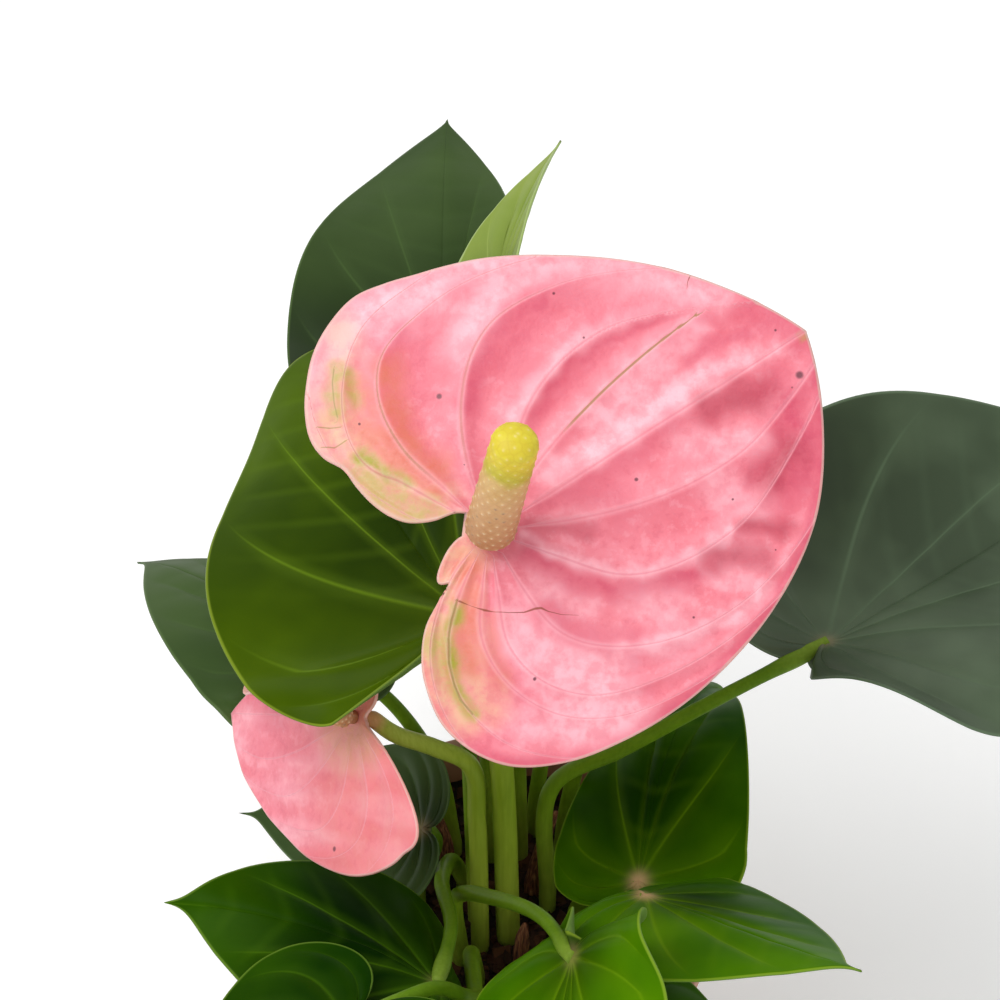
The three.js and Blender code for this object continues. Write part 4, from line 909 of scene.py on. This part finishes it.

# Where the colour of the main spathe changes, in its own plane: a tint, how strong it is, how wide
# to each side in mm, and the places it runs through, X to the tip and Y to the left. The rose and
# deep patches are partly painted shade in the vein valleys, the pale ones partly painted highlight.
MAIN_TINTS_AND_SHADING = [
    ("rose", 0.8, 3.2, [(19.5, 33.5), (23, 35.5), (28, 37), (33, 37), (37.5, 36), (41, 34.5)]),
    ("rose", 0.5, 7, [(20.5, 29), (29, 31.5), (36, 32)]),
    ("rose", 0.6, 2.5, [(43.5, 32), (47.5, 32), (53.5, 30.5)]),
    ("rose", 0.75, 3, [(20.5, 15.5), (25, 18), (31.5, 20.5), (38, 21.5), (43.5, 21), (49.5, 20), (59, 16.5)]),
    ("rose", 0.4, 6, [(27.5, 17), (35, 19), (43.5, 19), (50, 17.5)]),
    ("pale", 0.75, 2.2, [(17, 17.5), (21, 19.5), (26.5, 21.5), (32.5, 23),
        (38.5, 23.5), (50, 22), (56.5, 19.5)]),
    ("pale", 0.8, 5, [(31.5, 8), (41.5, 10), (50.5, 12.5), (57.5, 13.5)]),
    ("rose", 0.6, 3, [(60.5, 15), (63, 12.5)]),
    ("rose", 0.65, 2.4, [(53.5, 7.5), (59, 8.5), (66.5, 6)]),
    ("rose", 0.6, 6, [(69, 10.5), (74.5, 3.5), (76, 0)]),
    ("pale", 0.95, 4, [(17.5, 4), (25, 3), (33, 2.5), (42, 3), (53.5, 3.5)]),
    ("pale", 0.6, 3, [(53.5, 3.5), (62.5, 2.5), (69.5, 0)]),
    ("rose", 0.5, 3, [(12.5, -0.5), (21.5, -2), (33, -2.5), (44, -1)]),
    ("deep", 0.7, 4.5, [(51.5, -2.5), (57.5, -4), (62.5, -6)]),
    ("rose", 0.95, 8, [(65.5, -10), (64, -17.5), (60.5, -21.5), (55, -23)]),
    ("deep", 0.8, 4.5, [(60.5, -19), (54, -21.5)]),
    ("pale", 0.5, 4, [(43, -5.5), (51.5, -10), (56.5, -14.5)]),
    ("pale", 0.6, 5, [(44.5, -17.5), (49.5, -24.5)]),
    ("deep", 0.5, 2.2, [(7.5, -3), (13, -7), (17, -10.5)]),
    ("pale", 0.75, 8, [(28, 48.5), (43, 39.5), (55, 29.5), (64, 19)]),
    ("pale", 0.6, 3.5, [(55.5, 25), (63, 18.5), (67, 14.5)]),
    ("rose", 0.35, 5, [(25, 41.5), (32, 43)]),
    ("pale", 0.9, 6, [(7.5, 53), (-0.5, 52.5), (-6, 50), (-11.5, 46.5), (-15.5, 42.5)]),
    ("pale", 0.85, 8, [(9.5, 50.5), (16, 50.5), (23, 49.5), (29.5, 48.5)]),
    ("rose", 0.4, 4, [(22.5, 46.5), (24, 46.5)]),
    ("salmon", 0.85, 4.2, [(0.5, 40), (-2.5, 34), (-4, 27.5), (-4, 21.5), (-2.5, 17)]),
    ("rose", 0.5, 4, [(2, 41.5), (7.5, 45)]),
    ("rose", 0.35, 6, [(6, 37), (6.5, 31.5)]),
    ("rose", 0.75, 3.5, [(10.5, 24.5), (13.5, 28), (17.5, 31.5), (21.5, 33.5), (29, 36), (35.5, 35)]),
    ("pale", 0.9, 5, [(15, 36), (21, 38.5), (26, 40.5), (30.5, 43)]),
    ("cream", 0.85, 6, [(-16, 36.5), (-13.5, 31.5), (-11, 23.5), (-8.5, 16.5), (-6, 11)]),
    ("cream", 0.45, 5, [(-3.5, 52.5), (-6, 47), (-11, 42.5), (-14.5, 39)]),
    ("salmon", 0.7, 3.5, [(-9.5, 32.5), (-7.5, 29), (-7.5, 23.5)]),
    ("salmon", 0.6, 3.5, [(-6.5, 41), (-5, 38), (-6, 34)]),
    ("cream", 0.9, 7, [(-15.5, 22), (-13, 16), (-9.5, 11)]),
    ("green", 0.85, 2.2, [(-14, 27.5), (-12, 23), (-9.5, 18)]),
    ("green", 0.5, 3.5, [(-16, 24.5), (-14.5, 19), (-11.5, 13), (-8.5, 10)]),
    ("green", 0.7, 2, [(-8, 46), (-10.5, 43.5), (-12.5, 39.5), (-13.5, 37)]),
    ("green", 0.6, 2.2, [(-9, 45), (-7, 44), (-8, 41), (-8.5, 37.5)]),
    ("rose", 0.85, 3.4, [(0.5, -19.5), (3, -26.5), (7.5, -31), (13, -34.5)]),
    ("rose", 0.9, 3.6, [(5, -8), (7.5, -14.5), (12, -20), (17.5, -24.5), (25.5, -27.5), (31, -29.5)]),
    ("pale", 0.8, 1.8, [(5, -4.5), (8, -9.5), (12, -16), (16.5, -20.5),
        (22.5, -24), (36, -27.5), (41.5, -26.5)]),
    ("pale", 0.9, 2.2, [(10.5, -34.5), (15, -37), (23, -39), (30, -41), (36, -41), (41, -40)]),
    ("deep", 0.7, 3.6, [(35.5, -29), (41, -31.5), (44, -35)]),
    ("deep", 0.7, 2.6, [(45, -27.5), (51, -32)]),
    ("pale", 0.6, 1.4, [(32.5, -28.5), (34.5, -36)]),
    ("rose", 0.55, 3.6, [(11, -37.5), (6.5, -40), (9, -43.5)]),
    ("pale", 0.85, 9, [(-6, -21), (-3, -31), (4.5, -35.5), (-2, -39.5)]),
    ("pale", 0.6, 7, [(-14, -37), (-7.5, -42.5), (2, -43.5)]),
    ("rose", 0.3, 6, [(16.5, -41.5), (23.5, -42.5)]),
    ("salmon", 0.8, 3.5, [(-7.5, -4), (-11.5, -11), (-16, -15.5), (-18.5, -20)]),
    ("salmon", 0.5, 3, [(-9, -15.5), (-13, -20.5), (-14, -26)]),
    ("cream", 0.85, 4.5, [(-19.5, -9), (-23.5, -15.5), (-25.5, -22.5), (-24.5, -29)]),
    ("cream", 0.7, 5, [(-15.5, -14.5), (-19.5, -24), (-19.5, -29.5)]),
    ("green", 0.95, 2, [(-14, -9.5), (-17.5, -12.5), (-20, -16), (-21.5, -19)]),
    ("green", 0.7, 1.6, [(-21.5, -19), (-23, -22.5), (-23.5, -25.5), (-23, -29.5)]),
    ("cream", 1, 6, [(-6.5, 0), (-10.5, -2.5), (-13, -5.5)]),
    ("salmon", 0.5, 2.5, [(-7, -1.5), (-9, -3.5)]),
    ("green", 0.8, 1.6, [(-9, 17), (-12, 24), (-13.5, 27.5)]),
    ("salmon", 0.75, 2.2, [(-5, 13.5), (-8.5, 23), (-11, 31)]),
    ("pale", 0.55, 7, [(19.5, -26.5), (21.5, -31.5)]),
    ("pale", 0.5, 6, [(3, -16), (6.5, -22)]),
    ("pale", 0.45, 6, [(37.5, -31.5), (41.5, -32)]),
    ("pale", 0.6, 6, [(18.5, -38.5), (23.5, -39.5)]),
    ("pale", 0.8, 8, [(-7, -41), (2, -46)]),
    ("rose", 0.5, 6, [(19, -2), (26, -9)]),
    ("rose", 0.45, 8, [(50, 22), (53.5, 16.5)]),
    ("rose", 0.5, 8, [(39, 32.5), (44.5, 29)]),
    ("rose", 0.6, 7, [(27, 31), (24, 26)]),
    ("rose", 0.4, 9, [(9.5, 40.5), (10, 36)]),
    ("salmon", 0.8, 5, [(-6, 27.5), (-6.5, 21.5)]),
    ("green", 0.6, 4, [(-21.5, -13), (-22.5, -17.5)]),
    ("green", 1, 0.9, [(76.2, -0.4), (77.4, -0.5)]),
]
# Fine creases, and the healed scratch across the right half with a width share at each place.
CREASES = [
    [(-13, -8), (-16.5, -11), (-19, -14), (-21.5, -18), (-23, -22.5), (-23.5, -25.5), (-23, -29.5)],
    [(-18, 37.5), (-16, 36), (-14, 35)], [(-19.5, 33.5), (-17.5, 32), (-14.5, 32)],
    [(-8.5, 46.5), (-10.5, 44), (-12.5, 40), (-13.5, 37)]]
SCAR = [(-13, -8.5, 1.1), (-11.8, -10.2, 0.25), (-10.6, -11.8, 0.4), (-9.8, -12.8, 1.3), (-8.2, -14.2, 0.4),
        (-6, -15.8, 0.4), (-3, -17.5, 0.7), (-0.8, -18.1, 1.1), (0.2, -18.7, 1.2), (1, -20, 0.5),
        (3, -22, 0.35), (6, -24, 0.15)]
NICK = [(64, 23, 0.8), (62.6, 22, 0.5), (61.6, 20.8, 0.2)]


def line_field(flat_x, flat_y, chains):
    """A signed distance across chains of spots, large beyond their ends, for lines drawn fine.
    A spot may hold a third number, the share of its full width that the line has there."""
    best = np.full(flat_x.shape, FAR)
    for (ax, ay, *a_wide), (bx, by, *b_wide) in (pair for chain in chains for pair in zip(chain, chain[1:])):
        length = math.hypot(bx - ax, by - ay)
        along = ((flat_x - ax) * (bx - ax) + (flat_y - ay) * (by - ay)) / length
        across = ((flat_x - ax) * (by - ay) - (flat_y - ay) * (bx - ax)) / length
        beyond = np.maximum(np.maximum(-along, along - length), 0)
        wide = np.interp(along / length, [0, 1], [*(a_wide or [1]), *(b_wide or [1])])
        reach = np.sign(across) * np.hypot(across, beyond * 2) / wide
        best = np.where(np.abs(reach) < np.abs(best), reach, best)
    return best


def main_tints_and_shading(x, y, angle, out, edge, tints):
    """Lays the main spathe's pale, rose, salmon, cream, deep and green areas into its tints; the pale, rose
    and deep ones hold painted highlight and shade too.
    """
    flat = np.stack([x, y], axis=-1)
    ragged_x, ragged_y = x + 0.7 * wobble(flat, 3.4, 31), y + 0.7 * wobble(flat, 3.4, 32)
    tints["cream"] += 0.6 * smoothstep(angle, 100, 118) * smoothstep(out, 0.2, 0.45)
    rim = 1 - smoothstep(edge, 0.6, 3.4)
    on_right = smoothstep(-angle, -2, 8) * (1 - smoothstep(-angle, 118, 140))
    for tint, share in (("cream", 0.8 * smoothstep(-angle, 140, 158)),
                        ("rose", rim * np.maximum(0.85 * on_right, 0.4)),
                        ("pale", 0.9 * rim * smoothstep(angle, 88, 100))):
        tints[tint] = np.maximum(tints[tint], share)
    for tint, strength, wide, places in MAIN_TINTS_AND_SHADING:
        patch = min(1.15 * strength, 1) * near(ragged_x, ragged_y, places, wide * 1.5)
        tints[tint] = np.maximum(tints[tint], patch)
        if tint == "pale":
            tints["rose"] *= 1 - 0.6 * patch


def second_tints_and_shading(x, y, tints):
    """Lays the second spathe's streaks, its rose folded side, partly painted shade, and its cream throat."""
    streaks = smoothstep(wobble(np.stack([x * 0.25, y], axis=-1), 5, 36), -0.6, 0.6)
    stripes = smoothstep(wobble(np.stack([x * 0.3, y], axis=-1), 4, 35), 0, 0.9)
    folded = smoothstep(-y, 0, 9)
    for tint, share in (("rose", folded), ("rose", 0.35 * stripes),
                        ("cream", 1 - smoothstep(np.hypot(x, y), 6, 17)),
                        ("pale", (0.08 + 0.6 * streaks) * (1 - 0.8 * folded))):
        tints[tint] = np.maximum(tints[tint], share)
    tints["salmon"] += 0.45 * (1 - smoothstep(x, 0, 30))


def vein_ink(x, y, angle, out, count):
    """How strongly the veins of the main spathe are inked brown: at the lobes, and one more."""
    ink = smoothstep(angle, 66, 80) * (1 - smoothstep(angle, 120, 130))
    ink = np.maximum(ink, smoothstep(-angle, 128, 136))
    ink = np.maximum(ink, 0.4 * smoothstep(angle, 40, 50))
    ink *= 0.75 * smoothstep(np.hypot(x, y), 12, 24) * (1 - 0.6 * smoothstep(out, 0.7, 0.95))
    first_vein = (np.abs(count - 21) < 0.3) * smoothstep(out, 0.36, 0.44) * (1 - smoothstep(out, 0.92, 0.97))
    return np.maximum(ink, first_vein)


for flower in FLOWERS:
    columns, rows = flower["spathe_grid"]
    angles = -180 + 360 * np.arange(columns) / columns
    spread = np.linspace(0, 1, rows)
    surface, fields = spathe_surface(flower, angles[None, :], spread[:, None])
    x, y, count = fields["flat_x"], fields["flat_y"], fields["count"]
    angle, out = fields.pop("angle"), fields.pop("out")
    fraction = count - np.floor(count)
    inner, outer = fraction * fields["gap"], (1 - fraction) * fields["gap"]
    tints = {key: np.zeros(x.shape) for key in TINTS_WITH_PAINTED_LIGHT}
    # Painted shade and painted light beside each vein: rose on one side of it and pale on the other, the way
    # the quilting would be lit.
    tints["rose"] += 0.3 * np.exp(-outer / 4) * smoothstep(out, 0.12, 0.35) * (1 - smoothstep(out, 0.85, 1))
    tints["pale"] += 0.3 * np.exp(-inner / 4) * smoothstep(out, 0.1, 0.3)
    if flower is MAIN_FLOWER:
        main_tints_and_shading(x, y, angle, out, fields["edge"], tints)
        ink = vein_ink(x, y, angle, out, count)
        line, scar = line_field(x, y, CREASES), line_field(x, y, (SCAR, NICK))
        surface[..., 2] -= 0.35 * tints["green"] + 0.25 * tints["deep"]
    else:
        second_tints_and_shading(x, y, tints)
        ink, line, scar = np.zeros(x.shape), line_field(x, y, ()), line_field(x, y, ())
        fields["gap"] = fields["gap"] * 3
    fields.update(tints, ink=ink, scar=scar, line=line, scar_near=1 - smoothstep(np.abs(scar), 1, 2),
                  line_near=1 - smoothstep(np.abs(line), 0.7, 1.4))
    surface, _ = place_blade(flower, surface)
    spathe = sheet(np.array(flower["at"], float), surface, spread, SPATHE_THICKNESS, SPATHE_EDGE_THICKNESS,
                   fields)
    make_piece(flower["name"] + "_spathe_grown", [(*spathe, 0)], [SPATHE_SKIN],
               [flower["name"] + "_spathe"])


# The spadices. The fleshy spike of true flowers on each spathe: hundreds of tiny florets in
# crossing spirals, each a low four-sided cushion with a raised stigma. Cream, ripening to yellow.
SPADIX_BODY = 0.93
CAP_STEPS = 24
SPINE_STEPS = 400
GOLDEN_ANGLE = math.pi * (3 - math.sqrt(5))
MAIN_FLOWER.update(spadix_grid=(150, 240), floret_spacing=2.1)
SECOND_FLOWER.update(spadix_grid=(64, 90), floret_spacing=1.4)

material, place = begin_material("ripe spadix florets")
along, stigma, seam, pick = (
    add_node(material, "Attribute", {}, "Fac", attribute_name=key)
    for key in ("along", "stigma", "seam", "pick"))
mottle = add_node(material, "TexNoise", {"Vector": place, "Scale": 1 / (3.5 * MM), "Detail": 4})
ripening = add_node(material, "Math", [mottle, 0.1, along], operation="MULTIPLY_ADD")
body = add_node(material, "ValToRGB", [ripening], stops=(
    (0, "#B58660"), (0.28, "#C49468"), (0.6, "#D8B080"), (0.77, "#DCBC7C"), (0.83, "#C8C03A"),
    (0.95, "#E8DA38"), (1, "#E2D83C")))
seam_share = add_node(material, "Math", [seam, 0.12], operation="MULTIPLY")
SPADIX_FLORETS = end_material(material, body, [
    (mottle, "#E2CDB4", "MULTIPLY"), (seam_share, "#C79A6E", "MULTIPLY"), (stigma, "#F6E6C0"),
    (pick, "#7A4A2C")], (mottle, 0.2, 0.1), {
        "Roughness": 0.5, "IOR": 1.42, "Subsurface Weight": 0.2, "Subsurface Radius": (1, 0.7, 0.3),
        "Subsurface Scale": 1.4 * MM})

for flower in FLOWERS:
    sides, steps = flower["spadix_grid"]
    _, turning = place_blade(flower, np.zeros((1, 3)))
    up = np.array(turning @ Vector((0, 0, 1)))
    lean = np.array(flower["spadix_lean"], float)
    lean /= np.linalg.norm(lean)
    long, wide = flower["spadix_length"], flower["spadix_radius"]
    base = np.array(flower["at"], float) + up * (SPATHE_THICKNESS / 2 + FIT_GAP)
    start = base + up * 1.5
    spine = cubic(start, start + up * long * 0.2, base + lean * long * 0.6, base + lean * long, SPINE_STEPS)
    rounding = SPADIX_BODY + (1 - SPADIX_BODY) * np.sin(np.linspace(0.08, 1.5, CAP_STEPS))
    stations = np.concatenate([np.linspace(0, SPADIX_BODY, steps), rounding])
    girth = wide * (0.6 + 0.4 * smoothstep(stations, 0, 0.14)) * (1 - 0.12 * stations)
    cap = np.clip((stations - SPADIX_BODY) / (1 - SPADIX_BODY), 0, 1)
    girth = girth * np.sqrt(np.clip(1 - cap ** 2.2, 0.002, 1))
    marks = np.linspace(0, 1, SPINE_STEPS + 1)
    path = np.stack([np.interp(stations, marks, spine[:, axis]) for axis in range(3)], axis=-1)
    path = np.concatenate([[base], path])
    girth = np.concatenate([[girth[0]], girth])
    points, faces, _ = bar(path, girth, sides)
    shares = np.concatenate([[0], np.repeat(np.concatenate([[0], stations]), sides), [1]])
    middle = np.concatenate([[base], np.repeat(path, sides, axis=0), [path[-1] - lean]])
    florets = int(2 * math.pi * wide * 0.9 * long / (flower["floret_spacing"] ** 2 * 0.866))
    tree_of_florets = KDTree(florets)
    for i in range(florets):
        station = 0.02 + 0.985 * (i + 0.5) / florets
        ring = int(np.argmin(np.abs(stations - station))) + 1
        column = int(round((i * GOLDEN_ANGLE) / (2 * math.pi) * sides)) % sides
        tree_of_florets.insert(points[1 + ring * sides + column], i)
    tree_of_florets.balance()
    nearest = np.array([[hit[2] for hit in tree_of_florets.find_n(point, 2)] for point in points])
    which = np.array([tree_of_florets.find(point)[1] for point in points])
    seam = 1 - smoothstep(nearest[:, 1] - nearest[:, 0], 0, 0.5)
    stigma = np.exp(-(nearest[:, 0] / 0.27) ** 2)
    dice = np.random.default_rng(77)
    freckle = (dice.uniform(size=florets) < 0.2)[which] * np.exp(-(nearest[:, 0] / 0.3) ** 2)
    clear = smoothstep(shares, 0, 0.03)
    lift = (0.05 + 0.2 * stigma - 0.04 * seam) * clear
    outward = points - middle
    outward /= np.linalg.norm(outward, axis=1, keepdims=True) + 1e-9
    points = points + outward * lift[:, None]
    ripe = smoothstep(shares, 0.6, 0.75)
    fields = {"along": shares, "stigma": stigma * (0.5 - 0.2 * ripe), "seam": seam,
              "pick": freckle * (1 - ripe) * 0.8}
    make_piece(flower["name"] + "_spadix_grown", [(points, faces, fields, 0)], [SPADIX_FLORETS],
               [flower["name"] + "_spadix"])


# The stage. A plain white floor under soft daylight from all round and one broad lamp above the
# left shoulder, looked at from the front at 48 degrees down, as the photograph is.
CAMERA_PLACE = (-0.00303, -0.4210, 0.7201)
CAMERA_TILT = 42
CAMERA_LENS = 105.84
FLOOR_REACH = 3000

material, place = begin_material("matt white floor")
tooth = add_node(material, "TexNoise", {"Vector": place, "Scale": 1 / (4 * MM), "Detail": 2})
end_material(material, linear("#F6F6F6"), [(tooth, "#FAFAFA")], None, {
    "Roughness": 0.9, "Emission Color": linear("#FFFFFF"), "Emission Strength": 0.16})
floor_corners = FLOOR_REACH * np.array([(-1, -1, 0), (1, -1, 0), (1, 1, 0), (-1, 1, 0)])
floor = new_object("floor", [(floor_corners, [(0, 1, 2, 3)])])
floor.data.materials.append(material)

scene = bpy.context.scene
scene.view_settings.view_transform = "Standard"
scene.world = bpy.data.worlds.new("overcast sky")
scene.world.use_nodes = True
sky = scene.world.node_tree.nodes["Background"]
sky.inputs["Color"].default_value = linear("#FFFFFF")
sky.inputs["Strength"].default_value = 0.6

for name, spot, size, power in (
        ("overhead softbox", (-0.55, -0.15, 1.5), 1.0, 14), ("front fill", (0.5, -1.4, 0.9), 1.2, 3)):
    lamp = bpy.data.lights.new(name, "AREA")
    lamp.size = size
    lamp.energy = power
    holder = bpy.data.objects.new(name, lamp)
    holder.location = spot
    aim = Vector((0, 0, 0.2)) - Vector(spot)
    holder.rotation_euler = aim.to_track_quat("-Z", "Y").to_euler()
    scene.collection.objects.link(holder)

camera = bpy.data.objects.new("camera", bpy.data.cameras.new("camera"))
camera.data.lens = CAMERA_LENS
camera.location = CAMERA_PLACE
camera.rotation_euler = (math.radians(CAMERA_TILT), 0, 0)
scene.collection.objects.link(camera)
scene.camera = camera

bpy.context.view_layer.update()
